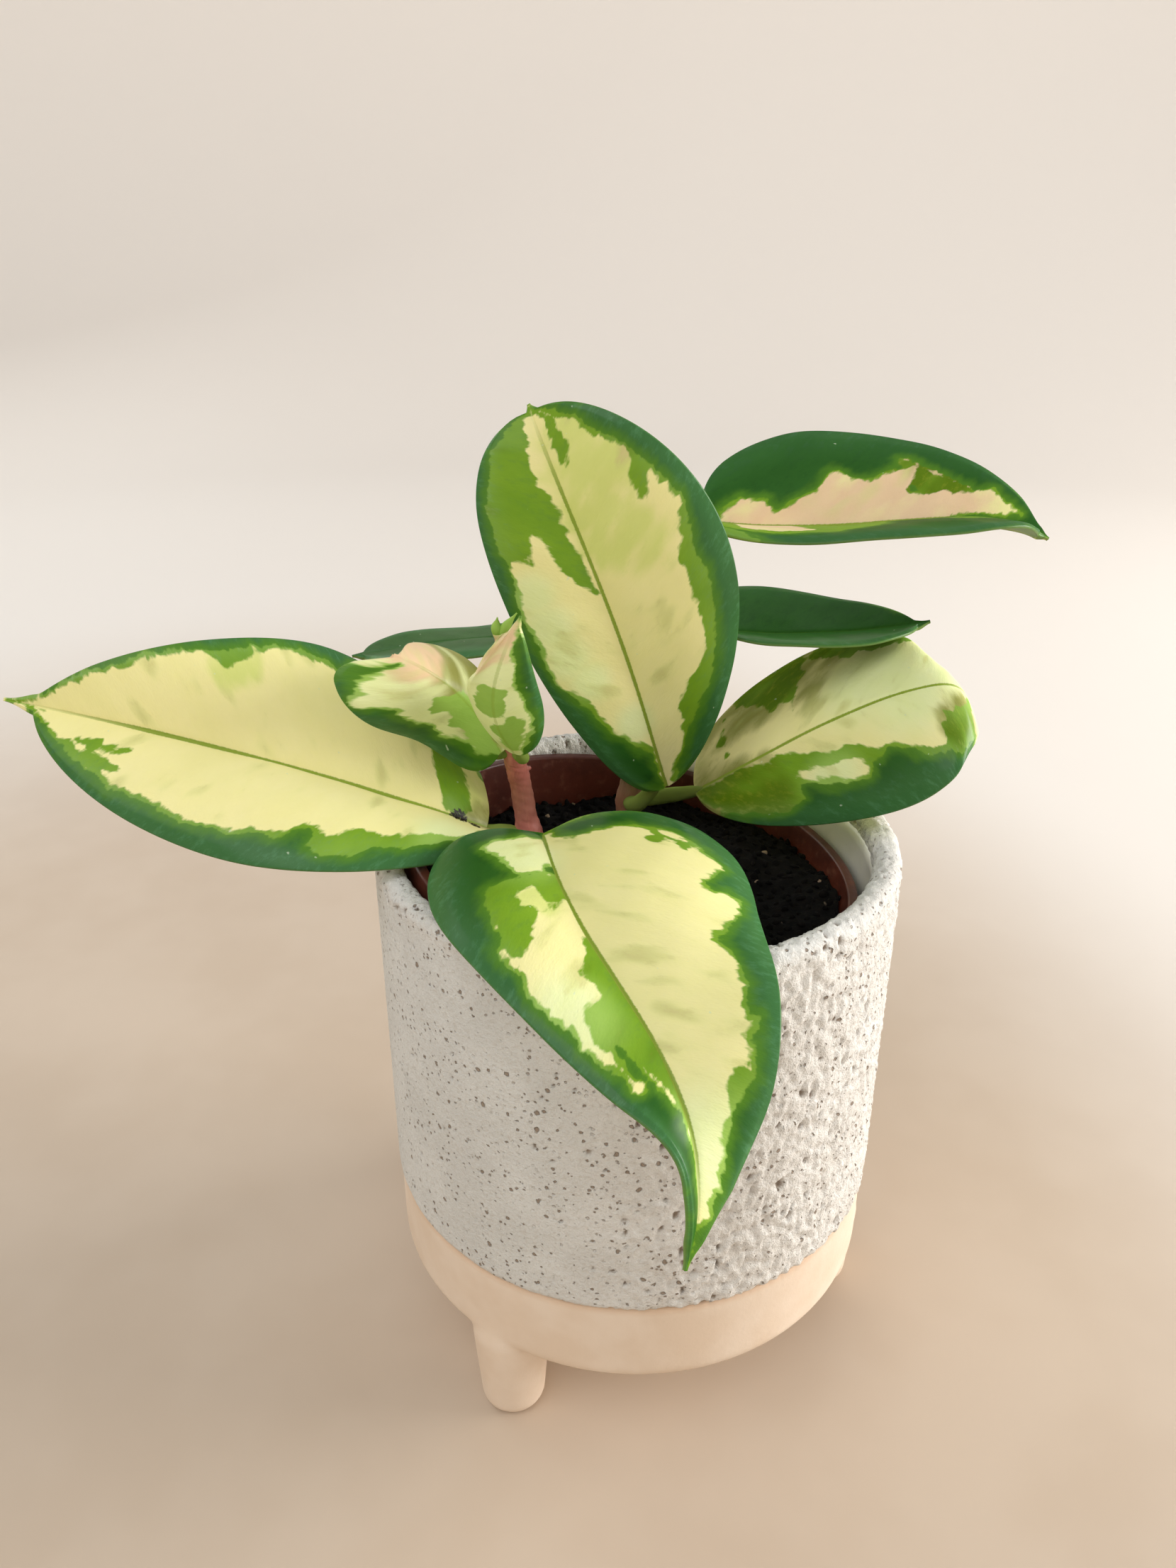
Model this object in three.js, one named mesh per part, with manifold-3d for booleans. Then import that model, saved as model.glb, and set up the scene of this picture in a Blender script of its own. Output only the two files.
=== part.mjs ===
// A potted tricolor wax plant: a three-footed cover pot, a leaning growing pot filled with soil,
// two stems and nine thick variegated leaves. Millimetres, +Z up. Each piece is made about the cover
// pot's axis, on the plane that its feet stand on, and the whole is then set with its box's middle over
// the origin. The front of the plant looks along -Y.
import * as THREE from 'three';
import * as BufferGeometryUtils from 'three/addons/utils/BufferGeometryUtils.js';
import Module from 'manifold-3d';

const wasm = await Module();
wasm.setup();

// Clear space between pieces that touch.
const GAP = 0.3;

// The cover pot: a glazed cylinder wall over a plain clay band.
const COVER = {
  radius: 49,
  height: 110,
  wall: 4.8,
  rimRound: 2.2,
  glazeEdge: 38.7,
  glazeStep: 0.4,
  bottom: 20,
  bottomRound: 3,
  floorTop: 26,
  floorRound: 15,
  sides: 64,
};

// Its three peg feet, which taper down from the clay band and stand a little proud of it.
const FOOT = {
  count: 3,
  firstAngle: -122,
  proud: 1.2,
  radius: 7.5,
  tipRadius: 6.3,
  tipRound: 2.6,
  straight: 1.6,
  sunk: 3,
  sides: 20,
};

// The growing pot: its rim circle as it leans in the cover pot, right side down. It stands on the
// ring round its raised base, which has round drain holes.
const NURSERY = {
  rimCentre: [-0.2, 0.4, 104.8],
  lean: 8.6,
  rimRadius: 43.2,
  lipWidth: 2.1,
  lipHeight: 7,
  lipRound: 0.6,
  wall: 1,
  baseRadius: 30,
  baseRise: 2,
  baseThick: 1.2,
  ringWidth: 5,
  ringSlope: 1.5,
  drainHoles: 4,
  drainRadius: 4,
  drainCircle: 15,
  drainSides: 16,
  sides: 56,
};

// The soil: how far its middle lies under the growing pot's rim, how its top is tipped back to level,
// and its lumps, with their waves in radians per millimetre.
const SOIL = {
  depth: 8,
  tip: 5.9,
  lump: 1.1,
  broadWave: 0.17,
  fineWave: 0.4,
  fineShare: 0.45,
  rings: 8,
  sides: 36,
};

// The stems: points on their middle lines, with the radius there.
const STEMS = {
  front: [
    [-21, 8, 85, 2.2],
    [-21, 8, 98, 2.2],
    [-21, 8, 103, 2.9],
    [-21.7, 8.2, 108, 2.2],
    [-22.5, 7.6, 115, 2.1],
    [-23.1, 5.4, 120.5, 2.1],
    [-23.2, 4, 124, 2.1],
    [-23.7, 4.6, 129, 1.2],
    [-24.5, 4.8, 137, 1],
    [-25.1, 3.8, 144, 0.9],
    [-25.4, 3, 149, 0.4],
  ],
  back: [
    [-2, 24, 84, 2.1],
    [-2, 24, 98, 2.1],
    [-1.5, 24, 104, 2.8],
    [-0.9, 24.2, 111, 2],
    [-0.3, 24.4, 127, 1.9],
    [-0.3, 24.5, 136, 1.9],
    [-0.1, 24.4, 142, 2.5],
    [0.9, 24.2, 148, 1.7],
    [3.5, 23.4, 156, 1.6],
    [5.7, 23, 161.5, 2.1],
    [6.9, 22.8, 165, 1.1],
    [7.5, 22.6, 168, 0.5],
  ],
};

// Leaf blades. The midrib is a Bezier curve from base to tip, and facing is the way that the upper face
// looks at the base and at the tip. Each half has its greatest width, the fullness of its base and tip
// ends (smaller is fuller), and the angle that it rises by from the midrib. It then curls down by the
// leaf's curl. The notch is how far the base lobes reach back past the stalk, which one half can have
// of its own, the shoulder how far a half's outer part reaches on past the tip, and the drip tip is a
// share of the length. The stalk's points run from the stem's middle line.
const LEAVES = {
  leaf_left: {
    stem: 'front',
    stalk: [[-21, 8, 103], [-25, 6.8, 104.5]],
    midrib: [[-28.5, 2, 108], [-50.5, -11, 124], [-80.5, -12, 132.5], [-108.5, -14.5, 139.5]],
    facing: [[-0.15, -0.4, 0.85], [-0.1, -0.9, 0.45]],
    left: { width: 21, base: 0.52, tip: 0.62, fold: 34, curl: 40 },
    right: { width: 25, base: 0.4, tip: 0.78, fold: 24, curl: 40 },
    notch: 1.2,
    drip: 0.06,
    wave: [0.5, 2.4, 0.1],
    color: 0x8fae5a,
  },
  leaf_front: {
    stem: 'front',
    stalk: [[-21, 8, 103], [-19, 0, 105.5]],
    midrib: [
      [-17, -9.5, 113],
      [-12.5, -30.5, 117],
      [-12, -53, 116],
      [13, -69, 110.5],
      [11, -78.5, 99.5],
      [7.5, -85, 88],
    ],
    facing: [[0.1, 0.1, 0.9], [0.27, -0.63, -0.54]],
    left: { width: 32, base: 0.36, tip: 1.2, fold: 31, curl: 45 },
    right: { width: 22, base: 0.36, tip: 1.4, fold: 12, curl: 45 },
    notch: 2.6,
    drip: 0.06,
    wave: [0.4, 2.2, 0.5],
    color: 0xc9cf86,
  },
  leaf_upright: {
    stem: 'back',
    stalk: [[-1.5, 24, 104], [0, 18.5, 105.5]],
    midrib: [
      [6, 13.5, 112],
      [1, 9.5, 129.5],
      [-2.5, 5, 146.5],
      [-9, 0.5, 161],
      [-16.5, 0, 179],
      [-19.5, 8, 185.5],
    ],
    facing: [[0.05, -0.84, 0.45], [-0.1, -0.96, 0.1]],
    left: { width: 17.5, base: 0.58, tip: 0.45, fold: 18, curl: 40 },
    right: { width: 24, base: 0.85, tip: 0.72, fold: 26, curl: 40 },
    notch: 3,
    drip: 0.03,
    wave: [0.4, 2.1, 0.3],
    color: 0xb9c878,
  },
  leaf_lower_right: {
    stem: 'back',
    stalk: [[-1.5, 24, 104], [5.5, 26, 104]],
    midrib: [[12, 22.5, 107], [29, 13.5, 122], [46, 6, 137], [61.5, 4, 145], [62, 12, 128]],
    facing: [[-0.1, -0.7, 0.67], [0.05, -0.3, 0.7]],
    left: { width: 25.5, base: 0.5, tip: 0.7, fold: -12, curl: 30 },
    right: { width: 21, base: 0.65, tip: 0.6, fold: 4, curl: 30 },
    notch: 2,
    drip: 0.02,
    wave: [0.4, 2.3, 0.7],
    color: 0x9cb765,
  },
  leaf_mid_right: {
    stem: 'back',
    stalk: [[-0.1, 24.4, 142], [2.7, 24.6, 142.2]],
    midrib: [[4.5, 25.5, 142.3], [19.5, 29, 138.6], [39.5, 28.5, 138.2], [57, 27, 142.8]],
    facing: [[0, -0.14, 1], [0, -0.25, 1]],
    left: { width: 17, base: 0.4, tip: 0.72, fold: 11, curl: 8 },
    right: { width: 18, base: 0.43, tip: 0.5, fold: 27, curl: 8 },
    notch: 1,
    drip: 0.05,
    wave: [0.4, 1.8, 0.2],
    color: 0x4e7f4a,
  },
  leaf_mid_left: {
    stem: 'back',
    stalk: [[-0.1, 24.4, 142], [-2.7, 24.8, 141.6]],
    midrib: [[-5, 25, 141], [-23.5, 25.5, 139], [-42.5, 26, 138], [-57.5, 24, 135]],
    facing: [[0, 0.17, 1], [0, 0.08, 1]],
    left: { width: 18.5, base: 0.52, tip: 0.62, fold: 7, curl: 8 },
    right: { width: 16, base: 0.5, tip: 0.5, fold: 5, curl: 8 },
    notch: 1,
    drip: 0.05,
    wave: [0.4, 2, 0.6],
    color: 0x4e7f4a,
  },
  leaf_upper_right: {
    stem: 'back',
    stalk: [[5.7, 23, 161.5], [8.3, 22.6, 162.2]],
    midrib: [[11, 22.5, 163], [36, 21, 159.5], [65, 21.5, 169], [74.5, 19, 161]],
    facing: [[0, -0.34, 0.91], [-0.08, -0.27, 0.94]],
    left: { width: 23, base: 0.5, tip: 1, fold: 27, curl: 15 },
    right: { width: 18.5, base: 0.43, tip: 0.58, fold: 32, curl: 15 },
    notch: 2.5,
    drip: 0.06,
    wave: [0.3, 2.2, 0.4],
    color: 0x55854c,
  },
  leaf_young_left: {
    stem: 'front',
    young: true,
    stalk: [[-23.2, 4, 124], [-26.1, 3, 123.4]],
    midrib: [[-25, 0.5, 124.5], [-30.5, -3, 138], [-34, -9, 143], [-41.5, -10, 147]],
    facing: [[0.1, -0.86, 0.45], [-0.18, -0.65, 0.67]],
    left: { width: 14.5, base: 0.42, tip: 0.38, fold: -6, curl: 40, shoulder: 10.3, notch: 6 },
    right: { width: 11, base: 0.6, tip: 0.49, fold: -22, curl: 60 },
    notch: 1.5,
    drip: 0.04,
    wave: [0, 1, 0],
    color: 0xb6cf84,
  },
  leaf_young_right: {
    stem: 'front',
    young: true,
    stalk: [[-23.2, 4, 124], [-21.3, 1, 123.4]],
    midrib: [[-22.3, -3.2, 125.8], [-26.5, -9.8, 136], [-25.7, -14.8, 142.6], [-19.5, -13.4, 155]],
    facing: [[-0.46, -0.72, 0.35], [0, -0.95, 0.29]],
    left: { width: 5.5, base: 0.54, tip: 0.68, fold: 6, curl: 20, shoulder: -7 },
    right: { width: 9, base: 0.5, tip: 0.75, fold: 0, curl: 50 },
    notch: 0,
    drip: 0.04,
    wave: [0, 1, 0],
    color: 0xbdd48a,
  },
};

// What all blades share. Shares are of the length, or of the thickness or width at the midrib. Over its
// last part, which is tipReach drip tips long, a blade narrows and thins to the shares given there.
const BLADE = {
  thick: 1.4,
  youngThick: 1.1,
  edgeShare: 0.55,
  edgeRound: 0.45,
  rows: 20,
  youngRows: 14,
  columns: 8,
  endTurn: 0.02,
  dripRoot: 2.5,
  tipReach: 1.3,
  tipWidth: 0.3,
  tipThick: 0.4,
  lobeFull: 1.6,
  notchReach: 0.25,
  shoulderStart: 0.35,
  waveShift: 0.3,
};

// A leaf's stalk, and the rib that it becomes under the blade. Each place on the rib has its share of
// the length, its radius as a share of the stalk's, and its depth in blade thicknesses.
const STALK = {
  radius: 1.7,
  youngRadius: 1.3,
  rib: [[0.03, 0.62, 1.05], [0.18, 0.48, 0.85], [0.5, 0.35, 0.75]],
  sides: 8,
  steps: 14,
};

const STEM = { sides: 10, steps: 34 };

// A closed geometry, merged at its shared corners, as a solid that can be joined and cut.
function solidOf(geometry) {
  const bare = geometry.clone();
  bare.deleteAttribute('normal');
  bare.deleteAttribute('uv');
  const merged = BufferGeometryUtils.mergeVertices(bare, 1e-4);
  return new wasm.Manifold(new wasm.Mesh({
    numProp: 3,
    vertProperties: new Float32Array(merged.attributes.position.array),
    triVerts: new Uint32Array(merged.index.array),
  }));
}

function geometryOf(solid) {
  const mesh = solid.getMesh();
  const geometry = new THREE.BufferGeometry();
  geometry.setAttribute('position', new THREE.BufferAttribute(new Float32Array(mesh.vertProperties), 3));
  geometry.setIndex(new THREE.BufferAttribute(new Uint32Array(mesh.triVerts), 1));
  geometry.computeVertexNormals();
  return geometry;
}

function pieceOf(name, geometry, color, roughness) {
  const material = new THREE.MeshStandardMaterial({ color, roughness, metalness: 0 });
  const mesh = new THREE.Mesh(geometry, material);
  mesh.name = name;
  return mesh;
}

// A profile of [radius, height] points turned about the Z axis.
function turned(profile, sides) {
  const points = profile.map(([radius, height]) => new THREE.Vector2(radius, height));
  return new THREE.LatheGeometry(points, sides).rotateX(Math.PI / 2);
}

// Points on a quarter or part circle in a profile, from one angle to another in degrees.
function arc(centreRadius, centreHeight, radius, from, to, steps) {
  const points = [];
  for (let step = 0; step <= steps; step += 1) {
    const angle = THREE.MathUtils.degToRad(from + ((to - from) * step) / steps);
    points.push([centreRadius + radius * Math.cos(angle), centreHeight + radius * Math.sin(angle)]);
  }
  return points;
}

function vectors(points) {
  return points.map(([x, y, z]) => new THREE.Vector3(x, y, z));
}

// A closed tube along middle points, each with its own radius. The radius can be grown all along, and
// both ends then reach on by as much.
function tube(points, { sides, steps }, grow = 0) {
  const path = new THREE.CatmullRomCurve3(vectors(points), false, 'centripetal');
  const frames = path.computeFrenetFrames(steps, false);
  const positions = [];
  const faces = [];
  for (let step = 0; step <= steps; step += 1) {
    const share = step / steps;
    const place = share * (points.length - 1);
    const first = Math.min(Math.floor(place), points.length - 2);
    const blend = THREE.MathUtils.smoothstep(place - first, 0, 1);
    const radius = THREE.MathUtils.lerp(points[first][3], points[first + 1][3], blend) + grow;
    const centre = path.getPoint(share);
    const tangent = path.getTangent(share);
    const side = frames.normals[step];
    const other = new THREE.Vector3().crossVectors(tangent, side).normalize();
    const across = new THREE.Vector3().crossVectors(other, tangent).normalize();
    if (step === 0) centre.addScaledVector(tangent, -grow);
    if (step === steps) centre.addScaledVector(tangent, grow);
    for (let turn = 0; turn < sides; turn += 1) {
      const angle = (2 * Math.PI * turn) / sides;
      const point = centre.clone();
      point.addScaledVector(across, radius * Math.cos(angle));
      point.addScaledVector(other, radius * Math.sin(angle));
      positions.push(point.x, point.y, point.z);
    }
  }
  for (let step = 0; step < steps; step += 1) {
    for (let turn = 0; turn < sides; turn += 1) {
      const next = (turn + 1) % sides;
      const a = step * sides + turn;
      const b = step * sides + next;
      faces.push(a, b, b + sides, a, b + sides, a + sides);
    }
  }
  const last = steps * sides;
  for (let turn = 1; turn < sides - 1; turn += 1) {
    faces.push(0, turn + 1, turn);
    faces.push(last, last + turn, last + turn + 1);
  }
  const geometry = new THREE.BufferGeometry();
  geometry.setAttribute('position', new THREE.Float32BufferAttribute(positions, 3));
  geometry.setIndex(faces);
  return geometry;
}

// The cover pot: wall, band and floor turned as one profile, with the three feet joined on.
function coverPot() {
  const { radius, height, wall, rimRound, glazeEdge, glazeStep } = COVER;
  const { bottom, bottomRound, floorTop, floorRound } = COVER;
  const bandRadius = radius - glazeStep;
  const inner = radius - wall;
  const profile = [
    [0, bottom],
    ...arc(bandRadius - bottomRound, bottom + bottomRound, bottomRound, -90, 0, 4),
    [bandRadius, glazeEdge - glazeStep],
    [radius, glazeEdge],
    ...arc(radius - rimRound, height - rimRound, rimRound, 0, 90, 3),
    ...arc(inner + rimRound, height - rimRound, rimRound, 90, 180, 3),
    ...arc(inner - floorRound, floorTop + floorRound, floorRound, 0, -90, 6),
    [0, floorTop],
  ];
  let pot = solidOf(turned(profile, COVER.sides));
  const footProfile = [
    [0, 0],
    ...arc(FOOT.tipRadius - FOOT.tipRound, FOOT.tipRound, FOOT.tipRound, -90, 0, 3),
    [FOOT.radius, bottom - FOOT.straight],
    [FOOT.radius, bottom],
    [FOOT.radius - FOOT.proud, bottom + FOOT.sunk],
    [0, bottom + FOOT.sunk],
  ];
  const footCircle = bandRadius - FOOT.radius + FOOT.proud;
  for (let foot = 0; foot < FOOT.count; foot += 1) {
    const angle = THREE.MathUtils.degToRad(FOOT.firstAngle + (360 * foot) / FOOT.count);
    const peg = turned(footProfile, FOOT.sides);
    peg.translate(footCircle * Math.cos(angle), footCircle * Math.sin(angle), 0);
    pot = pot.add(solidOf(peg));
  }
  return pieceOf('cover_pot', geometryOf(pot), 0xd9d3c8, 0.85);
}

// Sizes of the growing pot in its own frame, whose origin is the middle of its rim.
const lean = THREE.MathUtils.degToRad(NURSERY.lean);
const cornerDrop = NURSERY.baseRadius * Math.sin(lean);
const nurseryHeight = (NURSERY.rimCentre[2] - COVER.floorTop - GAP - cornerDrop) / Math.cos(lean);
const nurseryFloor = NURSERY.baseRise + NURSERY.baseThick - nurseryHeight;
const mouthRadius = NURSERY.rimRadius - NURSERY.lipWidth;
const wallSlope = (mouthRadius - NURSERY.baseRadius + NURSERY.wall) / nurseryHeight;

// The growing pot's inside radius at a height in its own frame.
function insideRadius(height) {
  return mouthRadius + wallSlope * height;
}

function nurseryPot() {
  const { rimRadius, lipHeight, lipRound, wall } = NURSERY;
  const { baseRadius, baseRise, baseThick, ringWidth, ringSlope } = NURSERY;
  const { drainHoles, drainRadius, drainCircle, drainSides } = NURSERY;
  const base = -nurseryHeight;
  const profile = [
    [0, base + baseRise],
    [baseRadius - ringWidth, base + baseRise],
    [baseRadius - ringWidth + ringSlope, base],
    [baseRadius, base],
    [insideRadius(-lipHeight) + wall, -lipHeight],
    [rimRadius - lipRound, -lipHeight],
    [rimRadius, -lipRound],
    [rimRadius - lipRound, 0],
    [mouthRadius + lipRound / 2, 0],
    [insideRadius(-lipRound), -lipRound],
    [insideRadius(nurseryFloor), nurseryFloor],
    [0, nurseryFloor],
  ];
  let pot = solidOf(turned(profile, NURSERY.sides));
  for (let hole = 0; hole < drainHoles; hole += 1) {
    const angle = (2 * Math.PI * (hole + 0.5)) / drainHoles;
    const drill = new THREE.CylinderGeometry(drainRadius, drainRadius, 4 * baseThick, drainSides);
    drill.rotateX(Math.PI / 2);
    drill.translate(drainCircle * Math.cos(angle), drainCircle * Math.sin(angle), nurseryFloor);
    pot = pot.subtract(solidOf(drill));
  }
  return pieceOf('nursery_pot', geometryOf(pot), 0x6e2c1c, 0.55);
}

// Height of the soil's top in the growing pot's frame: a level plane with broad soft lumps.
function soilTop(x, y) {
  const level = -SOIL.depth + x * Math.tan(THREE.MathUtils.degToRad(SOIL.tip));
  const broad = Math.sin(SOIL.broadWave * x + 1) * Math.cos(SOIL.broadWave * y);
  const fine = Math.sin(SOIL.fineWave * (x - y)) * Math.cos(SOIL.fineWave * (y + x / 2));
  return level + SOIL.lump * (broad + SOIL.fineShare * fine);
}

function soilBlock() {
  const { rings, sides } = SOIL;
  const bottom = nurseryFloor + GAP;
  const bottomRadius = insideRadius(bottom) - GAP;
  const topRadius = insideRadius(-SOIL.depth);
  const positions = [0, 0, soilTop(0, 0)];
  const faces = [];
  for (let ring = 1; ring <= rings; ring += 1) {
    for (let side = 0; side < sides; side += 1) {
      const angle = (2 * Math.PI * side) / sides;
      const edgeHeight = soilTop(topRadius * Math.cos(angle), topRadius * Math.sin(angle));
      const radius = ((insideRadius(edgeHeight) - 2 * GAP) * ring) / rings;
      const x = radius * Math.cos(angle);
      const y = radius * Math.sin(angle);
      positions.push(x, y, soilTop(x, y));
    }
  }
  for (let side = 0; side < sides; side += 1) {
    const angle = (2 * Math.PI * side) / sides;
    positions.push(bottomRadius * Math.cos(angle), bottomRadius * Math.sin(angle), bottom);
  }
  positions.push(0, 0, bottom);
  const underside = 1 + (rings + 1) * sides;
  for (let side = 0; side < sides; side += 1) {
    const next = (side + 1) % sides;
    faces.push(0, 1 + side, 1 + next);
    for (let ring = 0; ring < rings; ring += 1) {
      const a = 1 + ring * sides + side;
      const b = 1 + ring * sides + next;
      faces.push(a, a + sides, b + sides, a, b + sides, b);
    }
    faces.push(underside, underside - sides + next, underside - sides + side);
  }
  const geometry = new THREE.BufferGeometry();
  geometry.setAttribute('position', new THREE.Float32BufferAttribute(positions, 3));
  geometry.setIndex(faces);
  return geometry;
}

// A point on a Bezier curve of any number of control points, by repeated halving of the list.
function bezier(points, share) {
  let row = points;
  while (row.length > 1) {
    const shorter = [];
    for (let i = 0; i < row.length - 1; i += 1) {
      shorter.push(row[i].clone().lerp(row[i + 1], share));
    }
    row = shorter;
  }
  return row[0];
}

// Half width of a blade at a share of its length: full towards the base, drawn out to a drip tip.
function halfWidth(half, drip, along) {
  const widest = half.base / (half.base + half.tip);
  const share = THREE.MathUtils.clamp(along / (1 - drip), 1e-6, 1 - 1e-6);
  const body = half.width * (share / widest) ** half.base * ((1 - share) / (1 - widest)) ** half.tip;
  const root = half.width * drip * Math.min((1 - along) / drip, BLADE.dripRoot);
  const point = along > widest ? root : 0;
  return Math.cbrt(body ** 3 + point ** 3);
}

// What is left of a blade's width or thickness at a share of its length: all of it, or less at the tip.
function tipShare(leaf, along, atTip) {
  const drawn = THREE.MathUtils.smoothstep(along, 1 - BLADE.tipReach * leaf.drip, 1);
  return THREE.MathUtils.lerp(1, atTip, drawn);
}

// A point on a blade's upper face. along runs from base to tip, across from -1 at the left margin
// through 0 at the midrib to 1 at the right margin.
function bladePoint(leaf, along, across) {
  const midrib = vectors(leaf.midrib);
  const steps = midrib.slice(1).map((point, i) => point.clone().sub(midrib[i]));
  const tangent = bezier(steps, along).normalize();
  const [faceBase, faceTip] = vectors(leaf.facing);
  const facing = faceBase.lerp(faceTip, THREE.MathUtils.smoothstep(along, 0, 1));
  const up = facing.addScaledVector(tangent, -facing.dot(tangent)).normalize();
  const rightward = new THREE.Vector3().crossVectors(tangent, up);
  const half = across > 0 ? leaf.right : leaf.left;
  const width = halfWidth(half, leaf.drip, along);
  const fullReach = Math.hypot(width, BLADE.edgeRound) * Math.abs(across);
  const reach = fullReach * tipShare(leaf, along, BLADE.tipWidth);
  const fold = THREE.MathUtils.degToRad(half.fold);
  const bend = THREE.MathUtils.degToRad(half.curl) / half.width;
  const out = (Math.sin(fold) - Math.sin(fold - bend * reach)) / bend;
  const rise = (Math.cos(fold - bend * reach) - Math.cos(fold)) / bend;
  const spread = across ** 2 * THREE.MathUtils.clamp((BLADE.lobeFull * width) / half.width, 0, 1);
  const reachBack = half.notch ?? leaf.notch;
  const notch = reachBack * THREE.MathUtils.clamp(1 - along / BLADE.notchReach, 0, 1) ** 2 * spread;
  const outward = THREE.MathUtils.smoothstep(along, BLADE.shoulderStart, 1);
  const shoulder = (half.shoulder ?? 0) * outward * spread * (2 - spread);
  const [height, count, start] = leaf.wave;
  const turns = count * along + start + (across > 0 ? 0 : BLADE.waveShift);
  const wave = height * Math.sin(2 * Math.PI * turns);
  const point = bezier(midrib, along);
  point.addScaledVector(rightward, Math.sign(across) * out);
  point.addScaledVector(up, rise + wave * across ** 2 * Math.sin(Math.PI * along));
  point.addScaledVector(tangent, shoulder - notch);
  return point;
}

// The way that a blade's upper face looks at a point, from its neighbours on the face.
function bladeNormal(leaf, along, across) {
  const step = 0.01;
  const a = THREE.MathUtils.clamp(along, step, 1 - step);
  const lengthwise = bladePoint(leaf, a + step, across).sub(bladePoint(leaf, a - step, across));
  const low = bladePoint(leaf, a, Math.max(across - step, -1));
  const sideways = bladePoint(leaf, a, Math.min(across + step, 1)).sub(low);
  return sideways.cross(lengthwise).normalize();
}

// A blade as a closed plate: thick at the midrib, thinner at the margins, split alike on both faces.
function blade(leaf) {
  const rows = leaf.young ? BLADE.youngRows : BLADE.rows;
  const { columns, edgeShare, endTurn } = BLADE;
  const thick = leaf.young ? BLADE.youngThick : BLADE.thick;
  const upper = [];
  const lower = [];
  for (let row = 0; row <= rows; row += 1) {
    const turn = THREE.MathUtils.lerp(endTurn, 1 - endTurn, row / rows);
    const along = 0.5 - 0.5 * Math.cos(Math.PI * turn);
    for (let column = 0; column <= columns; column += 1) {
      const across = (2 * column) / columns - 1;
      const point = bladePoint(leaf, along, across);
      const full = thick * (1 - (1 - edgeShare) * across ** 2);
      const depth = full * tipShare(leaf, along, BLADE.tipThick);
      upper.push(...point.toArray());
      lower.push(...point.addScaledVector(bladeNormal(leaf, along, across), -depth).toArray());
    }
  }
  const stride = columns + 1;
  const under = (rows + 1) * stride;
  const faces = [];
  for (let row = 0; row < rows; row += 1) {
    for (let column = 0; column < columns; column += 1) {
      const a = row * stride + column;
      faces.push(a, a + 1, a + stride, a + 1, a + stride + 1, a + stride);
      faces.push(under + a, under + a + stride, under + a + 1);
      faces.push(under + a + 1, under + a + stride, under + a + stride + 1);
    }
    const left = row * stride;
    const right = left + columns;
    faces.push(left, left + stride, under + left + stride, left, under + left + stride, under + left);
    faces.push(right, under + right + stride, right + stride, right, under + right, under + right + stride);
  }
  const end = rows * stride;
  for (let column = 0; column < columns; column += 1) {
    faces.push(column, under + column + 1, column + 1, column, under + column, under + column + 1);
    const b = end + column;
    faces.push(b, b + 1, under + b + 1, b, under + b + 1, under + b);
  }
  const geometry = new THREE.BufferGeometry();
  geometry.setAttribute('position', new THREE.Float32BufferAttribute([...upper, ...lower], 3));
  geometry.setIndex(faces);
  return geometry;
}

// A leaf's stalk, which runs on under the blade as its thick midrib.
function stalkAndRib(leaf) {
  const radius = leaf.young ? STALK.youngRadius : STALK.radius;
  const thick = leaf.young ? BLADE.youngThick : BLADE.thick;
  const points = leaf.stalk.map((point) => [...point, radius]);
  for (const [along, radiusShare, depth] of STALK.rib) {
    const place = bladePoint(leaf, along, 0);
    place.addScaledVector(bladeNormal(leaf, along, 0), -depth * thick);
    points.push([...place, radiusShare * radius]);
  }
  return tube(points, STALK);
}

function stemTube(name, grow = 0) {
  return solidOf(tube(STEMS[name], STEM, grow));
}

const plant = new THREE.Group();
plant.add(coverPot());

const innerPot = new THREE.Group();
innerPot.position.set(...NURSERY.rimCentre);
innerPot.rotation.y = lean;
innerPot.updateMatrixWorld();
innerPot.add(nurseryPot());

// The soil has a plain hole for each stem, cut in the growing pot's own frame.
let soil = solidOf(soilBlock());
const toInnerPot = innerPot.matrixWorld.clone().invert();
for (const name of Object.keys(STEMS)) {
  const hole = tube(STEMS[name], STEM, GAP).applyMatrix4(toInnerPot);
  soil = soil.subtract(solidOf(hole));
}
innerPot.add(pieceOf('soil', geometryOf(soil), 0x1d1512, 0.95));
plant.add(innerPot);

plant.add(pieceOf('stem_front', geometryOf(stemTube('front')), 0xb06a62, 0.6));
plant.add(pieceOf('stem_back', geometryOf(stemTube('back')), 0x9a7a5c, 0.6));

for (const [name, leaf] of Object.entries(LEAVES)) {
  const whole = solidOf(blade(leaf)).add(solidOf(stalkAndRib(leaf)));
  plant.add(pieceOf(name, geometryOf(whole.subtract(stemTube(leaf.stem, GAP))), leaf.color, 0.4));
}

const middle = new THREE.Box3().setFromObject(plant, true).getCenter(new THREE.Vector3());
plant.position.set(-middle.x, -middle.y, 0);
const part = new THREE.Group();
part.add(plant);

export default part;
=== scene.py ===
# %% [markdown]
# # A potted tricolor wax plant
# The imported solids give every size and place. This lesson dresses them: a pitted stone glaze over a
# bare clay band with three feet, a brown growing pot full of soil, two stems, and nine thick leaves in
# cream, mid green and dark green.

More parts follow.
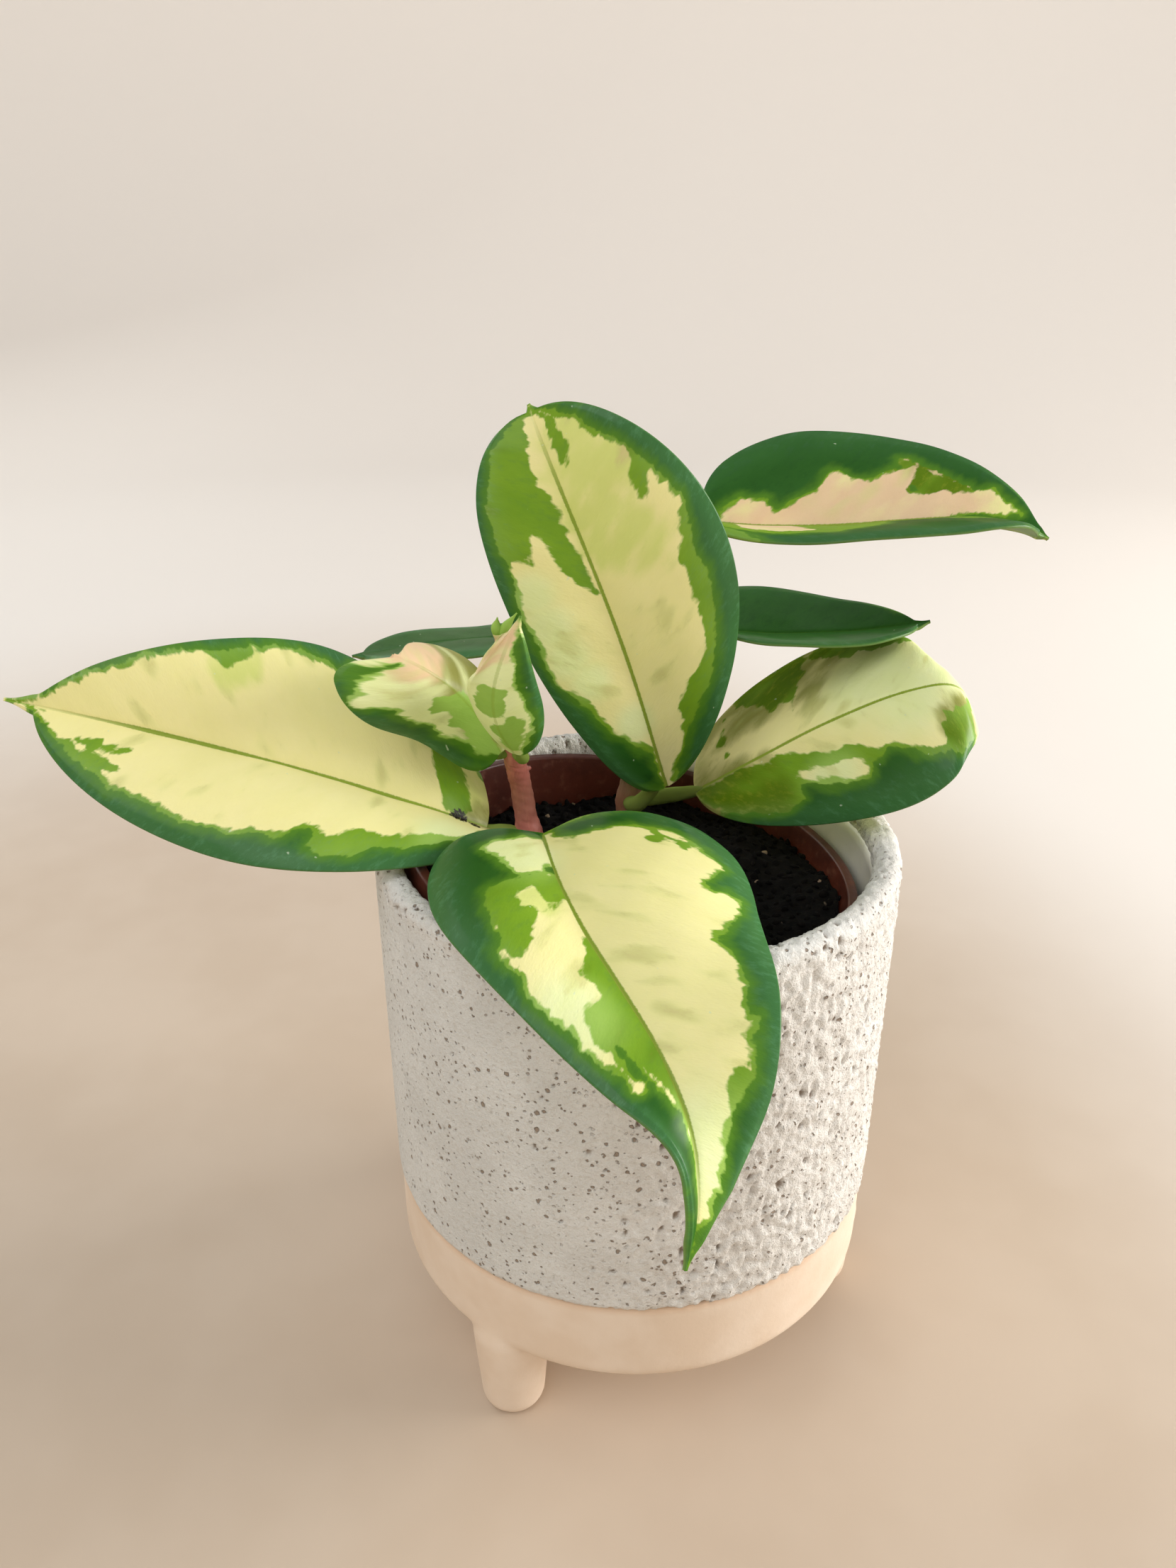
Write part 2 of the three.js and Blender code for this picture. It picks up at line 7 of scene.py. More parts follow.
# %% Load the frame
import math
import bpy
import numpy as np
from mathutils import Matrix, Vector


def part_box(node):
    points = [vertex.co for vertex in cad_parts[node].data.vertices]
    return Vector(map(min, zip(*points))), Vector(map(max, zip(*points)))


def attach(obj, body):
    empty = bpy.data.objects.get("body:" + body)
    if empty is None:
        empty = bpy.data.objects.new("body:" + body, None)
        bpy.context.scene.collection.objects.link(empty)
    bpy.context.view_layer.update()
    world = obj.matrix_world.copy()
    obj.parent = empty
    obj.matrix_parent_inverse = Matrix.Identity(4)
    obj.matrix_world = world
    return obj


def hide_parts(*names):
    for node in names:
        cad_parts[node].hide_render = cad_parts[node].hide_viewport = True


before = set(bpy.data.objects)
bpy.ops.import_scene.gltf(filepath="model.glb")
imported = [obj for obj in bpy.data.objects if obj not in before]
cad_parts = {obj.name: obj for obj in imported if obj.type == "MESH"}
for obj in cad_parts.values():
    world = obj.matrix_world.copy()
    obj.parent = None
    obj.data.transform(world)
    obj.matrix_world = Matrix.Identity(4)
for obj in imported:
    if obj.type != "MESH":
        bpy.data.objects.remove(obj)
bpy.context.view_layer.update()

print("nodes:", sorted(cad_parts))

# %% [markdown]
# Everything on the plant is laid out around the cover pot's axis, in millimetres. The frame's own
# origin is under the middle of the whole box, so each point is moved by the axis once, as it is made
# into metres. A foot stands proud of the pot on its right and rear, so the axis is found one radius in
# from the wall's left and front.

# %% Millimetres about the pot's axis
MM, MM_IN_A_METRE = 0.001, 1000.0
RADIUS, HEIGHT, GLAZE_EDGE = 49.0, 110.0, 38.7
pot_low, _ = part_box("cover_pot")
pot_axis = np.array([pot_low.x + RADIUS * MM, pot_low.y + RADIUS * MM, 0])


def in_frame(points):
    return np.asarray(points, float) * MM + pot_axis


print("the pot's axis is at", pot_axis.round(4), "m")

# %% [markdown]
# A shape is worked out as rows of points in numpy, which is quick and exact, and then becomes a mesh.
# Every finished piece rides on the one body, takes its material, and stands
# for the plain solid that it covers.

# %% Meshes and pieces
def smoothstep(x, low=0.0, high=1.0):
    t = np.clip((np.asarray(x, float) - low) / (high - low), 0, 1)
    return t * t * (3 - 2 * t)


def new_object(name, data):
    made = bpy.data.objects.new(name, data)
    bpy.context.scene.collection.objects.link(made)
    return made


def mesh_object(name, points, faces, values=None):
    mesh = bpy.data.meshes.new(name)
    mesh.from_pydata(in_frame(points).tolist(), [], faces)
    for key, data in (values or {}).items():
        data = np.asarray(data, float)
        kind = "FLOAT_VECTOR" if data.ndim == 2 else "FLOAT"
        layer = mesh.attributes.new(key, kind, "POINT")
        layer.data.foreach_set("vector" if data.ndim == 2 else "value", data.ravel())
    mesh.validate()
    mesh.shade_smooth()
    return new_object(name, mesh)


def plain_mesh(piece):
    ready = piece.evaluated_get(bpy.context.evaluated_depsgraph_get())
    mesh = bpy.data.meshes.new_from_object(ready)
    piece.modifiers.clear()
    piece.data = mesh
    mesh.shade_smooth()
    return piece


def finish_piece(piece, material, *nodes):
    piece.data.materials.clear()
    piece.data.materials.append(material)
    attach(piece, "root")
    if nodes:
        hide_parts(*nodes)
    piece.data.calc_loop_triangles()
    print(piece.name, len(piece.data.loop_triangles), "triangles")
    return piece


# %% [markdown]
# Most shapes here are rings of points with faces between them, closed by a fan at each end. Pots are
# turned: a profile of radius and height is swept round the axis. A profile that comes back to its
# start makes a ring, and one that ends on the axis is closed with a point there.

# %% Rings, fans and turned shapes
def between_rings(rings, sides, closed=False):
    faces = []
    for ring in range(rings if closed else rings - 1):
        a, b = ring * sides, (ring + 1) % rings * sides
        faces += [(a + i, a + (i + 1) % sides, b + (i + 1) % sides, b + i) for i in range(sides)]
    return faces


def fan(first, sides, middle, way=1):
    return [(first + i, first + (i + 1) % sides, middle)[::way] for i in range(sides)]


def joined(*parts):
    points, faces = np.zeros((0, 3)), []
    for more_points, more_faces in parts:
        faces += [tuple(v + len(points) for v in face) for face in more_faces]
        points = np.vstack([points, more_points])
    return points, faces


def on_circle(radius, degrees, height=0.0):
    angle = math.radians(degrees)
    return np.array([radius * math.cos(angle), radius * math.sin(angle), height])


def arc(radius_at, height_at, radius, start, end, steps):
    angles = np.radians(np.linspace(start, end, steps + 1))
    return [(radius_at + radius * math.cos(a), height_at + radius * math.sin(a)) for a in angles]


def finer(profile, spacing):
    out = [profile[0]]
    for a, b in zip(profile, profile[1:]):
        steps = max(1, round(math.dist(a, b) / spacing))
        out += [(a[0] + (b[0] - a[0]) * i / steps, a[1] + (b[1] - a[1]) * i / steps)
                for i in range(1, steps + 1)]
    return out


def turned(profile, sides, ring=False):
    profile = np.asarray(profile, float)
    on_axis = [] if ring else [i for i in (0, len(profile) - 1) if profile[i][0] < 1e-6]
    body = np.array([p for i, p in enumerate(profile) if i not in on_axis])
    turn = np.linspace(0, 2 * np.pi, sides, endpoint=False)
    points = np.stack([body[:, :1] * np.cos(turn), body[:, :1] * np.sin(turn),
                       np.repeat(body[:, 1:], sides, axis=1)], axis=-1).reshape(-1, 3)
    faces = between_rings(len(body), sides, ring)
    for end in on_axis:
        first, way = ((len(body) - 1) * sides, 1) if end else (0, -1)
        faces += fan(first, sides, len(points), way)
        points = np.vstack([points, [0, 0, profile[end][1]]])
    return points, faces


# %% [markdown]
# A material is a tree of nodes. A few short helpers keep the trees readable. One adds a node and sets
# or joins its inputs. The others do a sum, a soft step, a mix of two colours or a noise, and find their
# tree from the sockets that they are given. times(a, b, c) is a times b plus c.

# %% Node helpers
def paint(red, green, blue):
    linear = [((c / 255 + 0.055) / 1.055) ** 2.4 if c > 10 else c / 3294.6 for c in (red, green, blue)]
    return (*linear, 1)


def is_socket(value):
    return isinstance(value, bpy.types.NodeSocket)


def link(value, socket):
    value.id_data.links.new(value, socket)


def put(tree, kind, inputs=None, **settings):
    node = tree.nodes.new(kind)
    for key, value in settings.items():
        setattr(node, key, value)
    for key, value in (inputs or {}).items():
        if is_socket(value):
            link(value, node.inputs[key])
        else:
            node.inputs[key].default_value = value
    return node


def sums(operation):
    def result(first, second=0.0, third=0.0):
        tree = next(v for v in (first, second, third) if is_socket(v)).id_data
        return put(tree, "ShaderNodeMath", {0: first, 1: second, 2: third}, operation=operation).outputs[0]
    return result


plus, minus, times, over = (sums(name) for name in ("ADD", "SUBTRACT", "MULTIPLY_ADD", "DIVIDE"))
most, above, size_of = (sums(name) for name in ("MAXIMUM", "GREATER_THAN", "ABSOLUTE"))


def vectors(operation, first, second=(0, 0, 0), third=(0, 0, 0), scale=1.0):
    inputs = {0: first, 1: second, 2: third, 3: scale}
    return put(first.id_data, "ShaderNodeVectorMath", inputs, operation=operation).outputs[0]


def split(vector):
    return put(vector.id_data, "ShaderNodeSeparateXYZ", {0: vector}).outputs


def ramp(value, low, high, to_low=0.0, to_high=1.0):
    inputs = {"Value": value, "From Min": low, "From Max": high, "To Min": to_low, "To Max": to_high}
    return put(value.id_data, "ShaderNodeMapRange", inputs, interpolation_type="SMOOTHSTEP").outputs[0]


def blend(share, first, second):
    first, second = (colour if is_socket(colour) else paint(*colour) for colour in (first, second))
    return put(share.id_data, "ShaderNodeMix", {0: share, 6: first, 7: second}, data_type="RGBA").outputs[2]


def three(x, y, z):
    tree = next(v for v in (x, y, z) if is_socket(v)).id_data
    return put(tree, "ShaderNodeCombineXYZ", {0: x, 1: y, 2: z}).outputs[0]


def noise(vector, scale, detail=2.0, roughness=0.5):
    inputs = {"Vector": vector, "Scale": scale, "Detail": detail, "Roughness": roughness}
    return put(vector.id_data, "ShaderNodeTexNoise", inputs).outputs[0]


def bent(vector, scale, reach):
    cloud = put(vector.id_data, "ShaderNodeTexNoise", {"Vector": vector, "Scale": scale}).outputs["Color"]
    return vectors("ADD", vector, vectors("SCALE", cloud, scale=reach))


def new_group(name, kind, sockets_in, sockets_out):
    group = bpy.data.node_groups.new(name, kind)
    for way, sockets in (("INPUT", sockets_in), ("OUTPUT", sockets_out)):
        for title, socket_type, value in sockets:
            socket = group.interface.new_socket(title, in_out=way, socket_type=socket_type)
            if value is not None:
                socket.default_value = value
    return group, group.nodes.new("NodeGroupInput").outputs, group.nodes.new("NodeGroupOutput").inputs


# %% [markdown]
# Two effects come back in several finishes: a soft mottling, and small specks strewn about, whose
# outlines a noise makes ragged. Each is a group with its own sizes in millimetres, built once.

# %% Shared effects
NUMBER, VECTOR = "NodeSocketFloat", "NodeSocketVector"

mottle_group, given, result = new_group(
    "mottling", "ShaderNodeTree",
    [("Vector", VECTOR, None), ("Patch mm", NUMBER, 6.0)], [("Share", NUMBER, None)])
size = over(MM_IN_A_METRE, given["Patch mm"])
link(ramp(noise(given["Vector"], size, 3.0, 0.6), 0.35, 0.65), result["Share"])

speck_group, given, result = new_group(
    "specks", "ShaderNodeTree",
    [("Vector", VECTOR, None), ("Spacing mm", NUMBER, 4.0), ("Radius mm", NUMBER, 0.3),
     ("Missing share", NUMBER, 0.4)], [("Mask", NUMBER, None)])
size = over(MM_IN_A_METRE, given["Spacing mm"])
ragged = bent(given["Vector"], times(size, 1.7), over(0.55, size))
cells = put(speck_group, "ShaderNodeTexVoronoi", {"Vector": ragged, "Scale": size})
chance = put(speck_group, "ShaderNodeSeparateColor", {0: cells.outputs["Color"]})
reach = over(given["Radius mm"], given["Spacing mm"])
reach = times(reach, plus(chance.outputs[1], 0.4))
dots = ramp(over(cells.outputs["Distance"], reach), 1.0, 0.6)
link(times(dots, above(chance.outputs[0], given["Missing share"])), result["Mask"])
print("effects:", mottle_group.name, "and", speck_group.name)


def mottling(vector, patch):
    inputs = {"Vector": vector, "Patch mm": patch}
    return put(vector.id_data, "ShaderNodeGroup", inputs, node_tree=mottle_group).outputs[0]


def specks(vector, spacing, radius, missing):
    inputs = {"Vector": vector, "Spacing mm": spacing, "Radius mm": radius, "Missing share": missing}
    return put(vector.id_data, "ShaderNodeGroup", inputs, node_tree=speck_group).outputs[0]


# %% A new material with its shader and its object coordinates
def new_material(name, **values):
    material = bpy.data.materials.new(name)
    material.use_nodes = True
    tree = material.node_tree
    shader = tree.nodes["Principled BSDF"]
    for title, value in values.items():
        shader.inputs[title.replace("_", " ")].default_value = value
    print("material:", name)
    return material, tree, shader, put(tree, "ShaderNodeTexCoord").outputs["Object"]


def lift(shader, height, depth_mm):
    inputs = {"Strength": 1.0, "Distance": depth_mm * MM, "Height": height}
    link(put(height.id_data, "ShaderNodeBump", inputs).outputs[0], shader.inputs["Normal"])


def attribute(tree, name, output="Fac"):
    return put(tree, "ShaderNodeAttribute", attribute_name=name).outputs[output]


# %% [markdown]
# The stone glaze is a foamed, matt glaze: off-white, granular, full of burst bubbles whose insides
# are brown. The larger pits are real hollows, made below by Geometry Nodes, which also leave a value
# on the surface that says how deep each pit or crease between lumps lies. The material darkens by
# that value: in the pits partly their brown and partly painted shade, in the creases painted shade.

# %% Stone glaze
stone_glaze, tree, shader, place = new_material("stone glaze", IOR=1.5)
rough = attribute(tree, "rough")
grains = noise(place, 1300.0, 4.0, 0.7)
warm = mottling(place, 14.0)
smooth_side = blend(warm, (208, 209, 204), (218, 219, 214))
rough_side = blend(warm, (222, 217, 209), (231, 227, 220))
base = blend(rough, smooth_side, rough_side)
base = blend(ramp(grains, 0.45, 0.75, 0.0, 0.4), base, (182, 170, 154))
bunches = ramp(mottling(place, 11.0), 0.0, 0.8, 0.3)
pinholes = most(times(specks(place, 1.2, 0.29, 0.2), bunches), specks(place, 2.3, 0.42, 0.3))
# Pits, pinholes and creases between lumps are darkened: in pits and pinholes partly their brown and partly
# painted shade, in creases painted shade.
depth = most(attribute(tree, "pit_shade"), times(pinholes, 0.85))
base = blend(ramp(depth, 0.15, 0.95, 0.0, 0.85), base, (128, 104, 78))
link(base, shader.inputs["Base Color"])
link(ramp(grains, 0.3, 0.7, 0.45, 0.7), shader.inputs["Roughness"])
lift(shader, minus(times(grains, times(rough, 0.5, 0.8)), times(pinholes, 1.1)), 0.4)

# %% [markdown]
# Under the glaze the pot shows its fired clay: cream, smooth and matt, with a faint warm line where
# the glaze drew back, and a few dark iron specks.

# %% Bare clay and the white inside
LINE_FROM, LINE_TO = 2.2, 0.2
bare_clay, tree, shader, place = new_material("bare clay", Roughness=0.62)
base = blend(mottling(place, 16.0), (232, 213, 192), (225, 203, 179))
line = ramp(split(place)[2], (GLAZE_EDGE - LINE_FROM) * MM, (GLAZE_EDGE - LINE_TO) * MM)
base = blend(times(line, 0.65), base, (204, 166, 130))
base = blend(specks(place, 7.0, 0.28, 0.55), base, (120, 84, 58))
link(base, shader.inputs["Base Color"])
lift(shader, noise(place, 900.0, 4.0, 0.6), 0.05)

inner_glaze, tree, shader, place = new_material("inner glaze", Roughness=0.3, Coat_Weight=0.2)
base = blend(mottling(place, 12.0), (226, 222, 213), (236, 233, 226))
base = blend(specks(place, 9.0, 0.25, 0.6), base, (150, 130, 112))
link(base, shader.inputs["Base Color"])
lift(shader, noise(place, 260.0, 2.0), 0.06)

# %% [markdown]
# The growing pot is thin moulded polypropylene, satin and terracotta brown, painted darker than its
# own brown for the shade of the leaves over it. Dust and dried water leave it paler in patches, and the
# moulding leaves a fine grain.

# %% Brown plastic
brown_plastic, tree, shader, place = new_material("brown plastic", IOR=1.49)
# Dark brown: terracotta with painted shade from the leaves over it.
base = blend(mottling(place, 8.0), (70, 27, 15), (84, 35, 21))
dust = ramp(noise(place, 420.0, 5.0, 0.7), 0.52, 0.75, 0.0, 0.16)
base = blend(dust, base, (176, 120, 88))
base = blend(specks(place, 5.0, 0.25, 0.6), base, (44, 24, 16))
link(base, shader.inputs["Base Color"])
link(times(dust, 0.9, 0.38), shader.inputs["Roughness"])
lift(shader, noise(place, 700.0, 3.0), 0.05)

# %% [markdown]
# Damp peat is dark, and the shade under the leaves is painted into it too, so it is nearly black, with
# fibres that are a little browner and a few grey mineral grains.

# %% Potting soil
potting_soil, tree, shader, place = new_material("potting soil", Roughness=0.95, Specular_IOR_Level=0.15)
crumbs = noise(place, 520.0, 6.0, 0.75)
# Near black: the peat's own dark brown with painted shade from the leaves over it.
base = blend(ramp(crumbs, 0.4, 0.7), (6, 5, 4), (19, 14, 10))
base = blend(specks(place, 4.2, 0.3, 0.85), base, (96, 84, 70))
base = blend(attribute(tree, "pale"), base, blend(crumbs, (196, 176, 150), (150, 118, 90)))
link(base, shader.inputs["Base Color"])
lift(shader, crumbs, 0.5)

# %% [markdown]
# The front stem is young and pinkish brown, the back one is older, olive to brown, with corky specks.
# One material serves both: a value on the surface says how ripe the bark is.

# %% Stem bark
stem_bark, tree, shader, place = new_material("stem bark", Roughness=0.42, Subsurface_Weight=0.05)
shader.inputs["Subsurface Radius"].default_value = (0.003, 0.0015, 0.001)
ripe = attribute(tree, "ripe")
long_way = put(tree, "ShaderNodeMapping", {"Vector": place, "Scale": (1, 1, 0.22)}).outputs[0]
streaks = noise(long_way, 1500.0, 4.0, 0.6)
base = blend(ripe, blend(streaks, (220, 140, 124), (190, 102, 94)),
             blend(streaks, (146, 130, 84), (112, 84, 58)))
base = blend(times(specks(place, 1.6, 0.2, 0.5), ripe), base, (92, 62, 46))
link(base, shader.inputs["Base Color"])
lift(shader, streaks, 0.12)

# %% [markdown]
# The leaf is the star. Its three colours come from cell layers that carry or lack chlorophyll, so
# their borders run along the side veins in jagged steps. Each point of a leaf knows where it lies in
# millimetres from base and midrib, and how far it is inside the dark and the mid green zones. The
# material adds noise, drawn out along the side veins, to those distances and cuts them at zero: the
# borders come out crisp and ragged at any size, with no picture behind them.

# %% Leaf noises that follow the side veins
VEIN_SLANT = 0.62
leaf_tricolor, tree, shader, place = new_material(
    "leaf tricolor", IOR=1.45, Subsurface_Weight=0.12, Specular_IOR_Level=0.0, Coat_Roughness=0.26)
shader.inputs["Subsurface Radius"].default_value = (0.0022, 0.0026, 0.0008)
leaf_plane = attribute(tree, "leaf_plane", "Vector")
plane = split(leaf_plane)
outward = size_of(plane[1])
vein_line = times(outward, -VEIN_SLANT, plane[0])


def vein_noise(across_veins, along_veins, shift, detail=2.0, roughness=0.5):
    leaf_shift = plus(times(plane[2], 7.3), shift)
    place = three(times(vein_line, across_veins), times(outward, along_veins), leaf_shift)
    return minus(noise(place, 1.0, detail, roughness), 0.5)


teeth = vein_noise(0.75, 0.45, 3.0)
fine_teeth = vein_noise(3.4, 1.6, 6.0)
jag = times(vein_noise(0.26, 0.2, 0.0), 2.6, times(teeth, 1.5, times(fine_teeth, 0.3)))
other_jag = times(vein_noise(0.9, 0.4, 13.0), 0.9, jag)
other_jag = times(vein_noise(0.3, 0.22, 11.0), 2.2, other_jag)
shade = plus(vein_noise(0.14, 0.1, 20.0, 3.0, 0.6), 0.5)
drift = vein_noise(0.2, 0.12, 30.0, 1.5, 0.45)
clouds = ramp(drift, 0.04, 0.24)
mist = ramp(vein_noise(0.7, 0.4, 33.0, 4.0, 0.7), -0.02, 0.2)

# %% [markdown]
# Each zone has its own paints: cream with lime, olive or pink patches, mid green, and dark green. Young
# tissue is paler; the pale mint patches are partly such tissue and partly a painted sheen. The margins
# get a bluish painted sheen, a painted reflection of the bright room. The midrib, pale flecks, a few
# brown spots and a smear of dirt come on top, and the lower face is a duller copy.

# %% Leaf paints
zone = split(attribute(tree, "zones", "Vector"))
tone = split(attribute(tree, "tones", "Vector"))
tender = attribute(tree, "tender")
upper_face = attribute(tree, "upper_face")
into_dark = plus(zone[0], jag)
dark = ramp(into_dark, -0.15, 0.25)
mid = ramp(plus(zone[1], other_jag), -0.3, 0.3)


def patchy(value):
    return ramp(times(mist, 0.12, times(drift, 2.0, value)), 0.2, 1.05)


lime, olive, blush = (patchy(value) for value in tone)
cream = blend(shade, (242, 233, 170), (232, 225, 152))
# Pale mint over cream: the young leaves' paler tissue, and on the old leaves partly a painted sheen.
cream = blend(tender, cream, blend(shade, (236, 240, 188), (225, 232, 160)))
cream = blend(times(lime, 0.7), cream, blend(shade, (210, 219, 122), (194, 210, 106)))
cream = blend(olive, cream, blend(shade, (160, 158, 88), (134, 138, 68)))
cream = blend(blush, cream, blend(shade, (240, 212, 172), (224, 188, 148)))
cream = blend(times(clouds, 0.3), cream, (204, 214, 128))
# Painted sheen: a bluish painted reflection on the outer margins of the mid and dark green.
bloom = times(attribute(tree, "bloom"), times(mist, 0.35, 0.3))
middle = blend(shade, (134, 170, 44), (98, 142, 32))
middle = blend(times(mist, 0.3), middle, (92, 136, 58))
middle = blend(olive, middle, blend(mist, (92, 122, 14), (126, 144, 34)))
middle = blend(tender, middle, blend(shade, (166, 198, 96), (136, 176, 74)))
middle = blend(times(bloom, 0.7), middle, (150, 186, 122))
deep = blend(shade, (36, 82, 24), (50, 98, 36))
deep = blend(times(mist, 0.4), deep, (32, 72, 24))
deep = blend(bloom, deep, (92, 144, 98))
deep = blend(ramp(into_dark, 2.4, 0.0, 0.0, 0.8), deep, (88, 134, 34))
top = blend(dark, blend(mid, cream, middle), deep)

small = vectors("SCALE", leaf_plane, scale=MM)
vein = times(ramp(times(fine_teeth, 0.25, outward), 0.42, 0.2), zone[2])
dirt = ramp(plus(attribute(tree, "dirt"), vein_noise(1.7, 1.7, 50.0, 3.0, 0.7)), 0.86, 0.94)
top = blend(vein, top, blend(dark, (140, 160, 58), (74, 118, 40)))
top = blend(times(specks(small, 3.4, 0.22, 0.5), 0.5), top, (206, 220, 190))
top = blend(times(specks(small, 23.0, 0.36, 0.62), 0.8), top, (84, 62, 36))
top = blend(dirt, top, (30, 24, 14))
below = blend(dark, blend(mid, (214, 212, 144), (128, 146, 70)), (112, 138, 72))
link(blend(upper_face, below, top), shader.inputs["Base Color"])
link(times(minus(1.0, upper_face), 0.15, times(shade, 0.12, 0.36)), shader.inputs["Roughness"])
link(times(attribute(tree, "gloss"), 0.3), shader.inputs["Coat Weight"])
lift(shader, times(fine_teeth, 0.25, times(teeth, 0.5)), 0.16)

# %% [markdown]
# The cover pot's rough wall could be sculpted, but its shape follows a rule: fine grains all over,
# burst bubbles here and there, rougher on the right side and on the lip. So a smooth ring is turned
# first, and a Geometry Nodes tree moves each of its points in or out, and keeps a value for the
# shade painted into its pits and into the creases between lumps.

# %% The smooth ring of the wall
WALL, RIM_ROUND, LINING, LIP_DEPTH, FINENESS = 4.8, 2.2, 0.6, 5.0, 0.5
ROUGH_SIDE, SMOOTH_SHARE, LIP_SHARE = -0.35, 0.25, 0.7
inner_radius, lip_low = RADIUS - WALL, HEIGHT - LIP_DEPTH
wall_outer = finer([(RADIUS - 0.6, GLAZE_EDGE - 0.15), (RADIUS - 0.15, GLAZE_EDGE + 0.2),
                    (RADIUS, GLAZE_EDGE + 0.8), (RADIUS, HEIGHT - RIM_ROUND)], FINENESS)
wall_rim = finer(arc(RADIUS - RIM_ROUND, HEIGHT - RIM_ROUND, RIM_ROUND, 0, 90, 7)
                 + arc(inner_radius + RIM_ROUND, HEIGHT - RIM_ROUND, RIM_ROUND, 90, 180, 7)
                 + [(inner_radius, lip_low)], FINENESS)
wall_back = [(inner_radius + LINING, lip_low - 0.4), (inner_radius + LINING, GLAZE_EDGE + 2.3),
             (inner_radius + LINING - 0.2, GLAZE_EDGE - 0.15)]
points, faces = turned(wall_outer + wall_rim[1:] + wall_back, sides=600, ring=True)
radii, heights = np.hypot(points[:, 0], points[:, 1]), points[:, 2].copy()
on_back = (radii < inner_radius + LINING + 0.01) & (heights < lip_low + 0.5)
turn = np.arctan2(points[:, 1], points[:, 0])
wander = 0.1 * np.sin(5 * turn + 1) + 0.08 * np.sin(13 * turn) + 0.07 * np.sin(31 * turn + 2)
points[:, 2] += np.where((heights < GLAZE_EDGE + 1.5) & (radii > RADIUS - 1), wander + 0.1, 0)
roughness = SMOOTH_SHARE + (1 - SMOOTH_SHARE) * smoothstep(np.cos(turn - ROUGH_SIDE), -0.1, 0.75)
roughness += (LIP_SHARE - roughness) * smoothstep(points[:, 2], lip_low, HEIGHT - 1.5)
glaze_wall = mesh_object("glaze_wall", points, faces, {"glazed": ~on_back, "rough": roughness})

# %% [markdown]
# The tree has named inputs for the grain's height, the lumps, the pits' depth and their spacing. Pits
# are cells of a Voronoi texture whose distance to the cell's middle is under a radius of their own.
# Some are stretched upwards, as bubbles are that ran while the glaze was soft. On the rough side the
# glaze also stands in lumps: round cells side by side, with painted shade in the creases between them.

# %% Helpers for Geometry Nodes
GEOMETRY, FINISH = "NodeSocketGeometry", "NodeSocketMaterial"


def named(tree, name):
    return put(tree, "GeometryNodeInputNamedAttribute", {"Name": name}).outputs["Attribute"]


def keep(geometry, name, value):
    inputs = {"Geometry": geometry, "Name": name, "Value": value}
    return put(geometry.id_data, "GeometryNodeStoreNamedAttribute", inputs, data_type="FLOAT").outputs[0]


def pushed_out(geometry, amount):
    normal = put(geometry.id_data, "GeometryNodeInputNormal").outputs[0]
    inputs = {"Geometry": geometry, "Offset": vectors("SCALE", normal, scale=amount)}
    return put(geometry.id_data, "GeometryNodeSetPosition", inputs).outputs[0]


def close_tree(geometry, material, result):
    real = put(geometry.id_data, "GeometryNodeRealizeInstances", {0: geometry}).outputs[0]
    done = put(real.id_data, "GeometryNodeSetMaterial", {"Geometry": real, "Material": material})
    link(done.outputs[0], result["Geometry"])


def run_tree(piece, tree, **values):
    modifier = piece.modifiers.new(tree.name, "NODES")
    modifier.node_group = tree
    ids = {s.name: s.identifier for s in tree.interface.items_tree if s.in_out == "INPUT"}
    for title, value in values.items():
        modifier[ids[title.replace("_", " ")]] = value
    return plain_mesh(piece)


# %% Grain and burst bubbles
glaze_tree, given, result = new_group(
    "foamed glaze", "GeometryNodeTree",
    [("Geometry", GEOMETRY, None), ("Grain mm", NUMBER, 0.3), ("Pit depth mm", NUMBER, 0.9),
     ("Round pit spacing mm", NUMBER, 5.0), ("Long pit spacing mm", NUMBER, 3.4),
     ("Lump spacing mm", NUMBER, 1.7), ("Lump height mm", NUMBER, 0.4), ("Material", FINISH, None)],
    [("Geometry", GEOMETRY, None)])
where = put(glaze_tree, "GeometryNodeInputPosition").outputs[0]
glazed, rough = named(glaze_tree, "glazed"), named(glaze_tree, "rough")


def bent_cells(spacing, stretch, shift, **settings):
    moved = vectors("MULTIPLY_ADD", where, (1, 1, stretch), (shift, shift, 0))
    inputs = {"Vector": bent(moved, 700.0, 0.0012), "Scale": over(MM_IN_A_METRE, spacing)}
    return put(glaze_tree, "ShaderNodeTexVoronoi", inputs, **settings)


def pit_cells(spacing, stretch, shift, radius, missing):
    cell = bent_cells(spacing, stretch, shift)
    chance = split(cell.outputs["Color"])
    reach = times(chance[1], radius, radius * 0.35)
    near = ramp(over(cell.outputs["Distance"], reach), 1.0, 0.45)
    return times(near, above(chance[0], missing))


round_pits = pit_cells(given["Round pit spacing mm"], 1.0, 0.0, 0.16, ramp(rough, 0.2, 1.0, 0.55, 0.4))
long_pits = pit_cells(given["Long pit spacing mm"], 0.6, 0.3, 0.32, ramp(rough, 0.25, 0.9, 1.0, 0.6))
pits = times(most(round_pits, long_pits), glazed)
soft, grain = noise(where, 260.0, 3.0, 0.6), noise(where, 1050.0, 3.0, 0.65)
swell = times(soft, 0.5, minus(times(grain, 1.5), 1.0))
swell = times(times(swell, given["Grain mm"]), times(rough, 1.4, 0.35))
dome = bent_cells(given["Lump spacing mm"], 0.72, 0.7, feature="SMOOTH_F1").outputs["Distance"]
crease = ramp(dome, 0.25, 0.75)
lumpy = times(ramp(rough, 0.35, 1.0), ramp(soft, 0.3, 0.55, 0.45, 1.0))
lump = times(times(minus(0.45, crease), lumpy), given["Lump height mm"])
depth = times(times(pits, given["Pit depth mm"]), times(rough, 0.5, 0.5))
rise = times(times(minus(plus(swell, lump), depth), glazed), MM)
